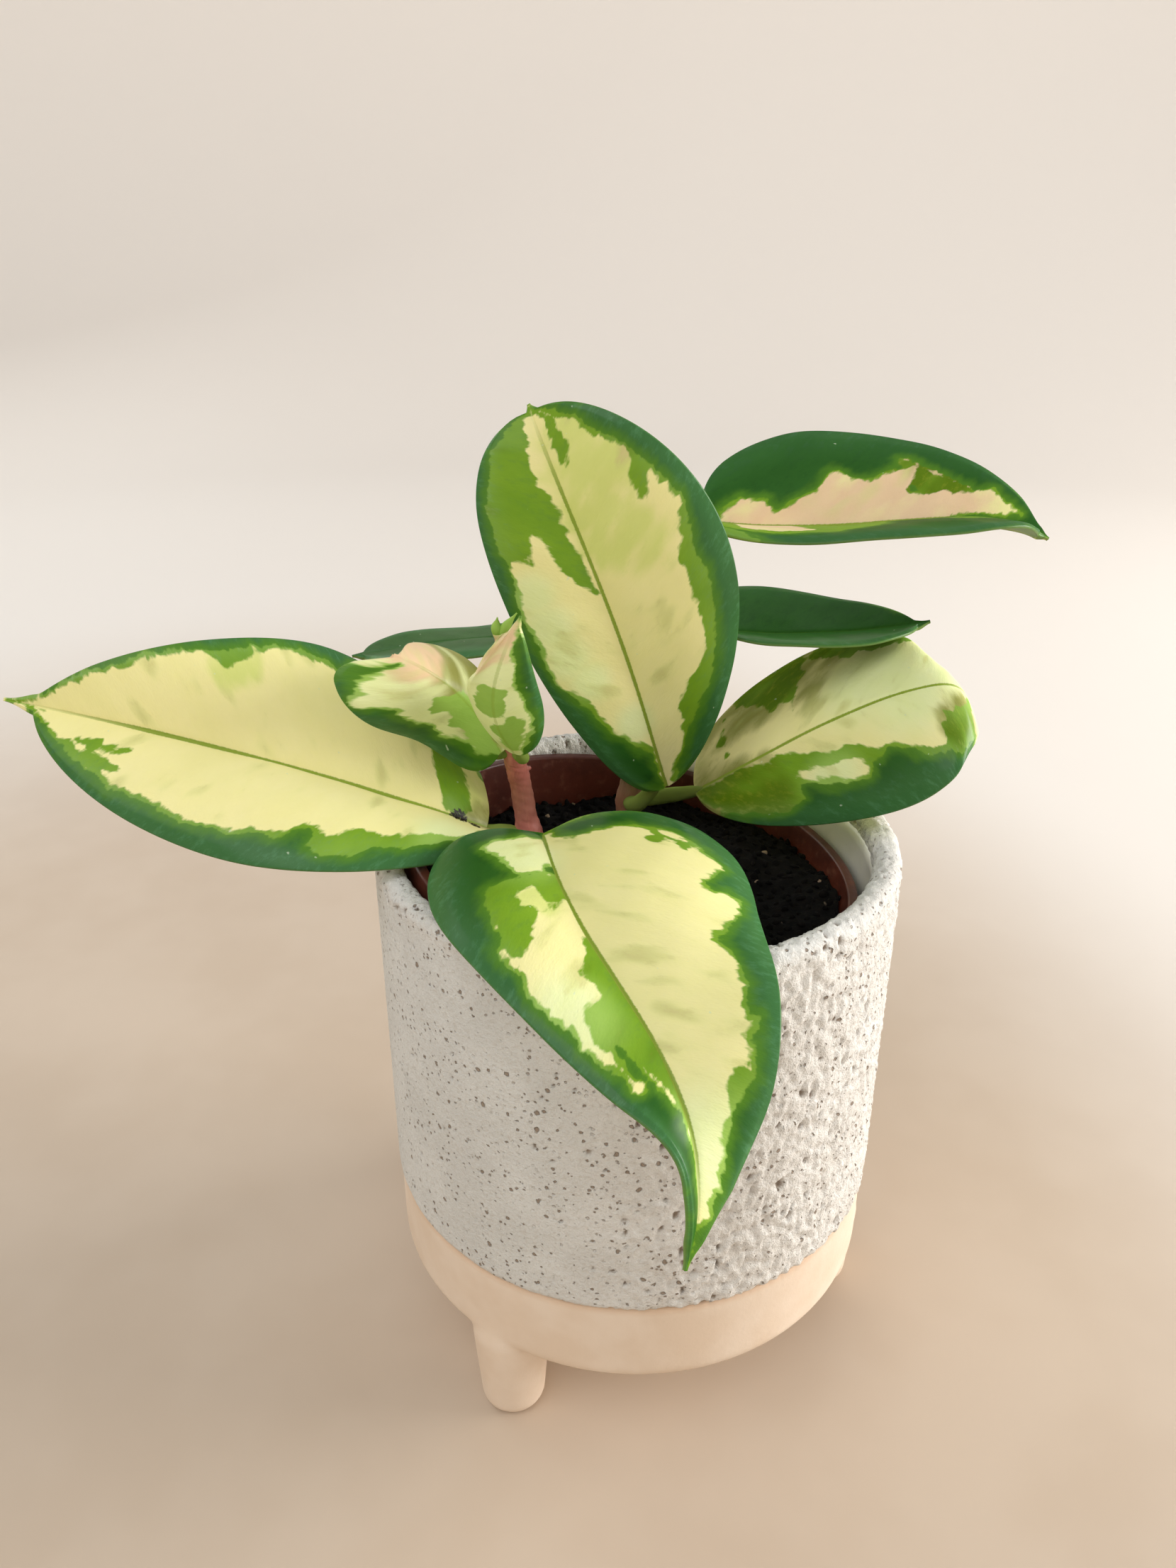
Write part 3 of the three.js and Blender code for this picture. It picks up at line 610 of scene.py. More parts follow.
# The kept value darkens the pits, partly their brown and partly painted shade, and the creases between
# lumps, which is painted shade.
shaded = most(pits, times(times(crease, lumpy), 0.36))
close_tree(pushed_out(keep(given["Geometry"], "pit_shade", shaded), rise), given["Material"], result)
run_tree(glaze_wall, glaze_tree, Grain_mm=0.3, Pit_depth_mm=0.9, Round_pit_spacing_mm=3.0,
         Long_pit_spacing_mm=2.1, Lump_spacing_mm=1.2, Lump_height_mm=0.62, Material=stone_glaze)
finish_piece(glaze_wall, stone_glaze, "cover_pot")

# %% [markdown]
# The clay under the glaze is one body: bowl, band and three peg feet that run up into the band. The
# pegs are turned too and set in the band, a voxel remesh makes one skin of the four, and smoothing
# rounds the joins as a wet sponge does on clay.

# %% Clay bowl with its feet
BAND_RADIUS, BOTTOM, BOTTOM_ROUND, FLOOR, FLOOR_ROUND = 48.6, 20.0, 3.0, 26.0, 15.0
FEET, FOOT_RADIUS, TIP_RADIUS, TIP_ROUND, FOOT_PROUD, FIRST_FOOT = 3, 7.5, 6.3, 2.6, 1.2, -122.0
VOXEL, SPONGE_STROKES = 0.75, 7
round_at, back_radius = (inner_radius - FLOOR_ROUND, FLOOR + FLOOR_ROUND), inner_radius + LINING
bowl = ([(0, BOTTOM)] + arc(BAND_RADIUS - BOTTOM_ROUND, BOTTOM + BOTTOM_ROUND, BOTTOM_ROUND, -90, 0, 8)
        + [(BAND_RADIUS, GLAZE_EDGE - 0.1), (back_radius - 0.2, GLAZE_EDGE - 0.1)]
        + arc(*round_at, FLOOR_ROUND + LINING, -9, -90, 12) + [(0, FLOOR - LINING)])
peg = ([(0, 0)] + arc(TIP_RADIUS - TIP_ROUND, TIP_ROUND, TIP_ROUND, -90, 0, 8)
       + [(FOOT_RADIUS, BOTTOM - 1.6), (FOOT_RADIUS, BOTTOM), (FOOT_RADIUS - FOOT_PROUD, BOTTOM + 3),
          (0, BOTTOM + 3)])
peg_points, peg_faces = turned(finer(peg, 3), sides=40)
foot_circle = BAND_RADIUS - FOOT_RADIUS + FOOT_PROUD
pegs = [(peg_points + on_circle(foot_circle, FIRST_FOOT + 360 / FEET * foot), peg_faces)
        for foot in range(FEET)]
clay_base = mesh_object("clay_base", *joined(turned(finer(bowl, 4), sides=160), *pegs))
skin = clay_base.modifiers.new("one skin", "REMESH")
skin.mode, skin.voxel_size = "VOXEL", VOXEL * MM
sponge = clay_base.modifiers.new("sponged", "SMOOTH")
sponge.factor, sponge.iterations = 0.5, SPONGE_STROKES
plain_mesh(clay_base)
for vertex in clay_base.data.vertices:
    vertex.co.z = max(vertex.co.z, 0)
finish_piece(clay_base, bare_clay)

lining = ([(inner_radius, lip_low + 0.6), (inner_radius, round_at[1])]
          + arc(*round_at, FLOOR_ROUND, -5, -90, 16) + [(0, FLOOR)])
behind = ([(0, FLOOR - LINING)] + arc(*round_at, FLOOR_ROUND + LINING, -90, -5, 16)
          + [(back_radius, round_at[1]), (back_radius, lip_low + 0.6)])
points, faces = turned(finer(behind + lining, 3), sides=200)
finish_piece(mesh_object("pot_lining", points, faces), inner_glaze)

# %% [markdown]
# The growing pot is moulded, with a flat lip and four drain holes. It leans, so it is turned upright
# and then tipped about the middle of its rim. The holes are cut with a Boolean, as a drill would.

# %% Growing pot
RIM_CENTRE, LEAN = np.array([-0.2, 0.4, 104.8]), math.radians(8.6)
RIM, LIP_WIDTH, LIP_HEIGHT, SHEET, BASE_RADIUS = 43.2, 2.1, 7.0, 1.0, 30.0
RECESS, FLOOR_TOP, CLEARANCE = 2.0, 3.2, 0.3
DRAINS, DRAIN_RADIUS, DRAIN_CIRCLE, DRILL_REACH = 4, 4.0, 15.0, 3.0
pot_height = (RIM_CENTRE[2] - FLOOR - CLEARANCE - BASE_RADIUS * math.sin(LEAN)) / math.cos(LEAN)
pot_floor = FLOOR_TOP - pot_height
mouth = RIM - LIP_WIDTH
slope = (mouth - BASE_RADIUS + SHEET) / pot_height


def inside(height):
    return mouth + slope * height


def tipped(points):
    x, y, z = np.asarray(points, float).T
    turned_points = [x * math.cos(LEAN) + z * math.sin(LEAN), y, z * math.cos(LEAN) - x * math.sin(LEAN)]
    return np.stack(turned_points, axis=-1) + RIM_CENTRE


outside = [(0, RECESS - pot_height), (BASE_RADIUS - 5, RECESS - pot_height),
           (BASE_RADIUS - 3.5, -pot_height), (BASE_RADIUS, -pot_height),
           (inside(-LIP_HEIGHT) + SHEET, -LIP_HEIGHT), (RIM - 0.3, -LIP_HEIGHT)]
lip = arc(RIM - 0.4, -LIP_HEIGHT + 0.4, 0.4, -60, 0, 3) + arc(RIM - 0.5, -0.5, 0.5, 0, 90, 4)
lip += arc(mouth + 0.5, -0.5, 0.5, 90, 180, 4)
within = [(inside(-2), -2), (inside(pot_floor + 1), pot_floor + 1), (inside(pot_floor) - 1, pot_floor),
          (0, pot_floor)]
points, faces = turned(finer(outside + lip + within, 3), sides=180)
nursery = mesh_object("growing_pot", tipped(points), faces)
drill, drill_faces = turned([(0, -DRILL_REACH), (DRAIN_RADIUS, -DRILL_REACH),
                             (DRAIN_RADIUS, DRILL_REACH), (0, DRILL_REACH)], sides=40)
drills = []
for hole in range(DRAINS):
    place = on_circle(DRAIN_CIRCLE, 45 + 360 / DRAINS * hole, pot_floor)
    drills.append(mesh_object(f"drill_{hole}", tipped(drill + place), drill_faces))
    cut = nursery.modifiers.new("drain hole", "BOOLEAN")
    cut.operation, cut.object, cut.solver = "DIFFERENCE", drills[-1], "EXACT"
plain_mesh(nursery)
for used in drills:
    bpy.data.objects.remove(used)
finish_piece(nursery, brown_plastic, "nursery_pot")

# %% [markdown]
# The soil's top is level although the pot leans, with broad soft lumps and a fine crumble. It is a
# closed block down to the pot's floor, so it looks right from any side.

# %% Soil bed
SOIL_DEPTH, SOIL_TIP, LUMP, CRUMBLE = 8.0, math.tan(math.radians(5.9)), 1.1, 1.3
SOIL_RINGS, SOIL_SIDES, NEAR_WALL = 56, 220, 38.0
rng = np.random.default_rng(4)
waves = [(rng.uniform(0.5, 1.9, 2) * rng.choice([-1, 1], 2), rng.uniform(0, 6.3)) for _ in range(22)]


def soil_top(x, y):
    broad = np.sin(0.17 * x + 1) * np.cos(0.17 * y)
    fine = np.sin(0.4 * (x - y)) * np.cos(0.4 * (y + x / 2))
    crumble = sum(np.sin(f[0] * x + f[1] * y + start) for f, start in waves) / len(waves)
    return -SOIL_DEPTH + x * SOIL_TIP + LUMP * (broad + 0.45 * fine) + CRUMBLE * crumble


turn = np.linspace(0, 2 * np.pi, SOIL_SIDES, endpoint=False)
outline = inside(soil_top(NEAR_WALL * np.cos(turn), NEAR_WALL * np.sin(turn))) - 0.35
shares = np.linspace(0, 1, SOIL_RINGS + 1)[1:, None]
x, y = shares * outline * np.cos(turn), shares * outline * np.sin(turn)
top = np.stack([x, y, soil_top(x, y)], axis=-1).reshape(-1, 3)
foot_radius, foot_height = inside(pot_floor) - 0.6, pot_floor + 0.3
foot = [(foot_radius * math.cos(a), foot_radius * math.sin(a), foot_height) for a in turn]
points = np.vstack([top, foot, [0, 0, soil_top(0, 0)], [0, 0, foot_height]])
centre = len(points) - 2
faces = [(centre, i, (i + 1) % SOIL_SIDES) for i in range(SOIL_SIDES)]
for ring in range(SOIL_RINGS):
    a, b = ring * SOIL_SIDES, (ring + 1) * SOIL_SIDES
    faces += [(a + i, b + i, b + (i + 1) % SOIL_SIDES, a + (i + 1) % SOIL_SIDES) for i in range(SOIL_SIDES)]
faces += fan(SOIL_RINGS * SOIL_SIDES, SOIL_SIDES, centre + 1, -1)
on_top = np.r_[np.ones(len(top)), np.zeros(len(foot)), 1, 0]
soil_bed = mesh_object("soil_bed", tipped(points), faces, {"on_top": on_top})
finish_piece(soil_bed, potting_soil, "soil")

# %% [markdown]
# Loose crumbs repeat, so a tree strews them: it spreads points on the soil's top, sets a lumpy ball
# on each with a size and turn of its own, and makes the result real. The few pale bits of bark and
# mineral come from the same tree with other numbers.

# %% Strewn crumbs
strew_tree, given, result = new_group(
    "strewn crumbs", "GeometryNodeTree",
    [("Geometry", GEOMETRY, None), ("Gap mm", NUMBER, 1.6), ("Smallest mm", NUMBER, 0.4),
     ("Largest mm", NUMBER, 1.4), ("Pale", NUMBER, 0.0), ("Seed", "NodeSocketInt", 1),
     ("Material", FINISH, None)], [("Geometry", GEOMETRY, None)])


def drawn(**inputs):
    return put(strew_tree, "FunctionNodeRandomValue", inputs, data_type="FLOAT_VECTOR").outputs[0]


spread = put(strew_tree, "GeometryNodeDistributePointsOnFaces", {
    "Mesh": given["Geometry"], "Selection": above(named(strew_tree, "on_top"), 0.9),
    "Distance Min": times(given["Gap mm"], MM), "Density Max": 900000.0, "Seed": given["Seed"],
}, distribute_method="POISSON")
ball = put(strew_tree, "GeometryNodeMeshIcoSphere", {"Radius": MM, "Subdivisions": 2}).outputs[0]
lumps = put(strew_tree, "ShaderNodeTexNoise", {"Scale": 900.0, "Detail": 2.0}).outputs[0]
ball = keep(pushed_out(ball, times(minus(lumps, 0.5), 1.4 * MM)), "pale", given["Pale"])
low, high = given["Smallest mm"], given["Largest mm"]
sizes = drawn(Min=three(low, low, low), Max=three(high, high, times(high, 0.7)), Seed=given["Seed"])
turns = drawn(Max=(6.28, 6.28, 6.28), Seed=9)
strewn = put(strew_tree, "GeometryNodeInstanceOnPoints", {
    "Points": spread.outputs["Points"], "Instance": ball, "Rotation": turns, "Scale": sizes})
close_tree(strewn.outputs[0], given["Material"], result)

for name, values in {
    "soil_crumbs": dict(Gap_mm=2.1, Smallest_mm=0.3, Largest_mm=1.2, Pale=0.0, Seed=3),
    "soil_flakes": dict(Gap_mm=12.0, Smallest_mm=0.25, Largest_mm=0.8, Pale=0.7, Seed=8),
}.items():
    crumbs = new_object(name, soil_bed.data.copy())
    run_tree(crumbs, strew_tree, Material=potting_soil, **values)
    finish_piece(crumbs, potting_soil)

# %% [markdown]
# A stem is a tube along a smooth path, with a radius of its own at each point, so nodes swell. The
# path passes through all its points at an even pace, without loops, by the centripetal rule.

# %% Tubes along smooth paths
def smooth_path(points, count):
    p = np.asarray(points, float)
    p = np.vstack([2 * p[0] - p[1], p, 2 * p[-1] - p[-2]])
    out = []
    for place in np.linspace(0, len(points) - 1, count):
        i = min(int(place), len(points) - 2)
        a, b, c, d = p[i:i + 4]
        ab, bc, cd = (math.sqrt(np.linalg.norm((v - u)[:3])) for u, v in ((a, b), (b, c), (c, d)))
        start = ((b - a) / ab - (c - a) / (ab + bc) + (c - b) / bc) * bc
        end = ((c - b) / bc - (d - b) / (bc + cd) + (d - c) / cd) * bc
        s = place - i
        out.append(b * (2 * s**3 - 3 * s**2 + 1) + c * (3 * s**2 - 2 * s**3)
                   + start * (s**3 - 2 * s**2 + s) + end * (s**3 - s**2))
    return np.array(out)


def unit(v):
    return v / np.linalg.norm(v, axis=-1, keepdims=True)


def tube(points, sides, count, rough=0.0):
    points = np.asarray(points, float)
    path = smooth_path(points[:, :3], count)
    place = np.linspace(0, len(points) - 1, count)
    first = np.minimum(place.astype(int), len(points) - 2)
    share = smoothstep(place - first)
    radius = points[first, 3] * (1 - share) + points[first + 1, 3] * share
    ahead = unit(np.gradient(path, axis=0))
    side = unit(np.cross(ahead[0], [0.3, 1, 0.2]))
    turn = np.linspace(0, 2 * np.pi, sides, endpoint=False)
    rings = []
    for i in range(count):
        side = unit(side - ahead[i] * (side @ ahead[i]))
        other = np.cross(ahead[i], side)
        wobble = 1 + rough * np.sin(3 * turn + 0.4 * i) * np.sin(0.9 * i + turn)
        rings.append(path[i] + (radius[i] * wobble)[:, None]
                     * (np.cos(turn)[:, None] * side + np.sin(turn)[:, None] * other))
    out = np.vstack([*rings, path[0] - ahead[0] * radius[0] * 0.3, path[-1] + ahead[-1] * radius[-1] * 0.5])
    faces = (between_rings(count, sides) + fan(0, sides, count * sides, -1)
             + fan((count - 1) * sides, sides, count * sides + 1))
    return out, faces


# %% [markdown]
# Both stems rise out of the soil through swollen nodes, where the leaf stalks join. A wax plant also
# has short corky root nubs below its nodes.

# %% Stems
FRONT_STEM = [(-21, 8, 85, 2.2), (-21, 8, 98, 2.2), (-21, 8, 103, 2.9), (-21.7, 8.2, 108, 2.2),
              (-22.5, 7.6, 115, 2.1), (-23.1, 5.4, 120.5, 2.1), (-23.2, 4, 124, 2.1),
              (-23.7, 4.6, 129, 1.2), (-24.5, 4.8, 137, 1), (-25.1, 3.8, 144, 0.9), (-25.4, 3, 149, 0.4)]
BACK_STEM = [(-2, 24, 84, 2.1), (-2, 24, 98, 2.1), (-1.5, 24, 104, 2.8), (-0.9, 24.2, 111, 2),
             (-0.3, 24.4, 127, 1.9), (-0.3, 24.5, 136, 1.9), (-0.1, 24.4, 142, 2.5),
             (0.9, 24.2, 148, 1.7), (3.5, 23.4, 156, 1.6), (5.7, 23, 161.5, 2.1),
             (6.9, 22.8, 165, 1.1), (7.5, 22.6, 168, 0.5)]


def nubs(stem, heights, seed):
    rng = np.random.default_rng(seed)
    path = smooth_path(np.asarray(stem)[:, :3], 200)
    out = []
    for height in heights:
        start = path[np.argmin(abs(path[:, 2] - height))]
        turn = rng.uniform(0, 2 * np.pi)
        way = np.array([math.cos(turn), math.sin(turn), rng.uniform(-0.3, 0.3)])
        size = rng.uniform(0.35, 0.6)
        out.append(tube([(*(start + way * 1.2), size), (*(start + way * 2.2), size),
                         (*(start + way * 2.8), size * 0.6)], sides=10, count=8))
    return out


for name, stem, ripeness, heights, node in (
    ("front_stem", FRONT_STEM, 0.1, (106.5, 118), "stem_front"),
    ("back_stem", BACK_STEM, 0.85, (100, 107, 116, 131, 139, 146, 152), "stem_back"),
):
    points, faces = joined(tube(stem, sides=28, count=150, rough=0.04), *nubs(stem, heights, len(heights)))
    ripe = np.clip(ripeness + 0.25 * np.sin(points[:, 2] * 0.35), 0, 1)
    finish_piece(mesh_object(name, points, faces, {"ripe": ripe}), stem_bark, node)


# %% [markdown]
# A leaf could be sculpted, but nine leaves that differ only in numbers are one rule. The midrib is a
# Bezier curve; each half rises from it by a fold, curls down towards its margin, and has a width that
# is full near the base and drawn out to the tip. These are the same numbers as in the solids.

# %% The leaves' numbers
THICK, YOUNG_THICK, EDGE_SHARE, EDGE_ROUND = 1.4, 1.1, 0.55, 0.45
LEAVES = {
    "leaf_left": dict(
        stalk=[(-21, 8, 103), (-25, 6.8, 104.5)],
        midrib=[(-28.5, 2, 108), (-50.5, -11, 124), (-80.5, -12, 132.5), (-108.5, -14.5, 139.5)],
        facing=[(-0.15, -0.4, 0.85), (-0.1, -0.9, 0.45)],
        left=dict(width=21, base=0.52, tip=0.62, fold=34, curl=40),
        right=dict(width=25, base=0.4, tip=0.78, fold=24, curl=40),
        notch=1.2, drip=0.06, wave=(0.5, 2.4, 0.1)),
    "leaf_front": dict(
        stalk=[(-21, 8, 103), (-19, 0, 105.5)],
        midrib=[(-17, -9.5, 113), (-12.5, -30.5, 117), (-12, -53, 116), (13, -69, 110.5),
                (11, -78.5, 99.5), (7.5, -85, 88)],
        facing=[(0.1, 0.1, 0.9), (0.27, -0.63, -0.54)],
        left=dict(width=32, base=0.36, tip=1.2, fold=31, curl=45),
        right=dict(width=22, base=0.36, tip=1.4, fold=12, curl=45),
        notch=2.6, drip=0.06, wave=(0.4, 2.2, 0.5)),
    "leaf_upright": dict(
        stalk=[(-1.5, 24, 104), (0, 18.5, 105.5)],
        midrib=[(6, 13.5, 112), (1, 9.5, 129.5), (-2.5, 5, 146.5), (-9, 0.5, 161), (-16.5, 0, 179),
                (-19.5, 8, 185.5)],
        facing=[(0.05, -0.84, 0.45), (-0.1, -0.96, 0.1)],
        left=dict(width=17.5, base=0.58, tip=0.45, fold=18, curl=40),
        right=dict(width=24, base=0.85, tip=0.72, fold=26, curl=40),
        notch=3, drip=0.03, wave=(0.4, 2.1, 0.3)),
    "leaf_lower_right": dict(
        stalk=[(-1.5, 24, 104), (5.5, 26, 104)],
        midrib=[(12, 22.5, 107), (29, 13.5, 122), (46, 6, 137), (61.5, 4, 145), (62, 12, 128)],
        facing=[(-0.1, -0.7, 0.67), (0.05, -0.3, 0.7)],
        left=dict(width=25.5, base=0.5, tip=0.7, fold=-12, curl=30),
        right=dict(width=21, base=0.65, tip=0.6, fold=4, curl=30),
        notch=2, drip=0.02, wave=(0.4, 2.3, 0.7)),
    "leaf_mid_right": dict(
        stalk=[(-0.1, 24.4, 142), (2.7, 24.6, 142.2)],
        midrib=[(4.5, 25.5, 142.3), (19.5, 29, 138.6), (39.5, 28.5, 138.2), (57, 27, 142.8)],
        facing=[(0, -0.14, 1), (0, -0.25, 1)],
        left=dict(width=17, base=0.4, tip=0.72, fold=11, curl=8),
        right=dict(width=18, base=0.43, tip=0.5, fold=27, curl=8),
        notch=1, drip=0.05, wave=(0.4, 1.8, 0.2)),
    "leaf_mid_left": dict(
        stalk=[(-0.1, 24.4, 142), (-2.7, 24.8, 141.6)],
        midrib=[(-5, 25, 141), (-23.5, 25.5, 139), (-42.5, 26, 138), (-57.5, 24, 135)],
        facing=[(0, 0.17, 1), (0, 0.08, 1)],
        left=dict(width=18.5, base=0.52, tip=0.62, fold=7, curl=8),
        right=dict(width=16, base=0.5, tip=0.5, fold=5, curl=8),
        notch=1, drip=0.05, wave=(0.4, 2, 0.6)),
    "leaf_upper_right": dict(
        stalk=[(5.7, 23, 161.5), (8.3, 22.6, 162.2)],
        midrib=[(11, 22.5, 163), (36, 21, 159.5), (65, 21.5, 169), (74.5, 19, 161)],
        facing=[(0, -0.34, 0.91), (-0.08, -0.27, 0.94)],
        left=dict(width=23, base=0.5, tip=1, fold=27, curl=15),
        right=dict(width=18.5, base=0.43, tip=0.58, fold=32, curl=15),
        notch=2.5, drip=0.06, wave=(0.3, 2.2, 0.4)),
    "leaf_young_left": dict(
        young=True, stalk=[(-23.2, 4, 124), (-26.1, 3, 123.4)],
        midrib=[(-25, 0.5, 124.5), (-30.5, -3, 138), (-34, -9, 143), (-41.5, -10, 147)],
        facing=[(0.1, -0.86, 0.45), (-0.18, -0.65, 0.67)],
        left=dict(width=14.5, base=0.42, tip=0.38, fold=-6, curl=40, shoulder=10.3, notch=6),
        right=dict(width=11, base=0.6, tip=0.49, fold=-22, curl=60),
        notch=1.5, drip=0.04, wave=(0, 1, 0)),
    "leaf_young_right": dict(
        young=True, stalk=[(-23.2, 4, 124), (-21.3, 1, 123.4)],
        midrib=[(-22.3, -3.2, 125.8), (-26.5, -9.8, 136), (-25.7, -14.8, 142.6), (-19.5, -13.4, 155)],
        facing=[(-0.46, -0.72, 0.35), (0, -0.95, 0.29)],
        left=dict(width=5.5, base=0.54, tip=0.68, fold=6, curl=20, shoulder=-7),
        right=dict(width=9, base=0.5, tip=0.75, fold=0, curl=50),
        notch=0, drip=0.04, wave=(0, 1, 0)),
}

# %% A point of a leaf's upper face
def bezier(points, along):
    along = np.asarray(along, float)[..., None]
    row = [np.asarray(p, float) for p in points]
    while len(row) > 1:
        row = [a + (b - a) * along for a, b in zip(row, row[1:])]
    return row[0]


def half_width(half, drip, along):
    widest = half["base"] / (half["base"] + half["tip"])
    share = np.clip(along / (1 - drip), 1e-6, 1 - 1e-6)
    body = half["width"] * (share / widest) ** half["base"] * ((1 - share) / (1 - widest)) ** half["tip"]
    root = half["width"] * drip * np.minimum((1 - along) / drip, 2.5)
    return np.cbrt(body ** 3 + np.where(along > widest, root, 0) ** 3)


def tip_share(leaf, along, at_tip):
    return 1 - (1 - at_tip) * smoothstep(along, 1 - leaf["drip"], 1)


def blade_point(leaf, along, across):
    along, across = np.broadcast_arrays(np.asarray(along, float), np.asarray(across, float))
    midrib = np.asarray(leaf["midrib"], float)
    tangent = unit(bezier(np.diff(midrib, axis=0), along))
    base, tip = np.asarray(leaf["facing"], float)
    facing = base + (tip - base) * smoothstep(along)[..., None]
    up = unit(facing - tangent * (facing * tangent).sum(-1, keepdims=True))
    rightward = np.cross(tangent, up)
    place = bezier(midrib, along)
    for side in (-1, 1):
        half = leaf["right"] if side > 0 else leaf["left"]
        mask = (across > 0) if side > 0 else (across <= 0)
        width = half_width(half, leaf["drip"], along)
        reach = np.hypot(width, EDGE_ROUND) * np.abs(across) * tip_share(leaf, along, 0.3)
        fold = np.radians(half["fold"])
        bend = np.radians(half["curl"]) / half["width"]
        out = (np.sin(fold) - np.sin(fold - bend * reach)) / bend
        rise = (np.cos(fold - bend * reach) - np.cos(fold)) / bend
        spread = across ** 2 * np.clip(1.6 * width / half["width"], 0, 1)
        notch = half.get("notch", leaf["notch"]) * np.clip(1 - along / 0.25, 0, 1) ** 2 * spread
        shoulder = half.get("shoulder", 0) * smoothstep(along, 0.35, 1) * spread * (2 - spread)
        height, count, start = leaf["wave"]
        turns = count * along + start + (0 if side > 0 else 0.3)
        wave = height * np.sin(2 * np.pi * turns) * across ** 2 * np.sin(np.pi * along)
        shift = (side * out)[..., None] * rightward + (rise + wave)[..., None] * up
        shift = shift + (shoulder - notch)[..., None] * tangent
        place = place + shift * mask[..., None]
    return place


def blade_normal(leaf, along, across):
    step = 0.01
    a = np.clip(along, step, 1 - step)
    lengthwise = blade_point(leaf, a + step, across) - blade_point(leaf, a - step, across)
    sideways = (blade_point(leaf, a, np.minimum(across + step, 1))
                - blade_point(leaf, a, np.maximum(across - step, -1)))
    return unit(np.cross(sideways, lengthwise))


def leaf_length(leaf):
    line = bezier(leaf["midrib"], np.linspace(0, 1, 200))
    return np.linalg.norm(np.diff(line, axis=0), axis=1).sum()


print("leaf lengths in mm:", {name: round(leaf_length(leaf)) for name, leaf in LEAVES.items()})

# %% [markdown]
# The zones of a leaf are closed outlines in shares of its length and half width, read one by one. along
# runs from base to tip, across from -1 over the midrib to 1. A list of edge points, with a side, closes
# out past that side's margin. Dark zones get a fringe of mid green around them. In a leaf that is split,
# an outline counts only on the half that it lies in, so colours can meet sharply at the midrib. Round
# patches of lime, olive, blush, mint or dirt are given by their middle and their reach in millimetres;
# mint is partly a painted sheen. For each half, two numbers give the margins' bluish painted sheen and the
# shine.

# %% Outlines of the colour zones
def margin(side, *edge):
    return [*edge, *((along, side * 1.3) for along in np.linspace(edge[-1][0], edge[0][0], 12))]


def block(along, across, to_along, to_across):
    return [(along, across), (to_along, across), (to_along, to_across), (along, to_across)]


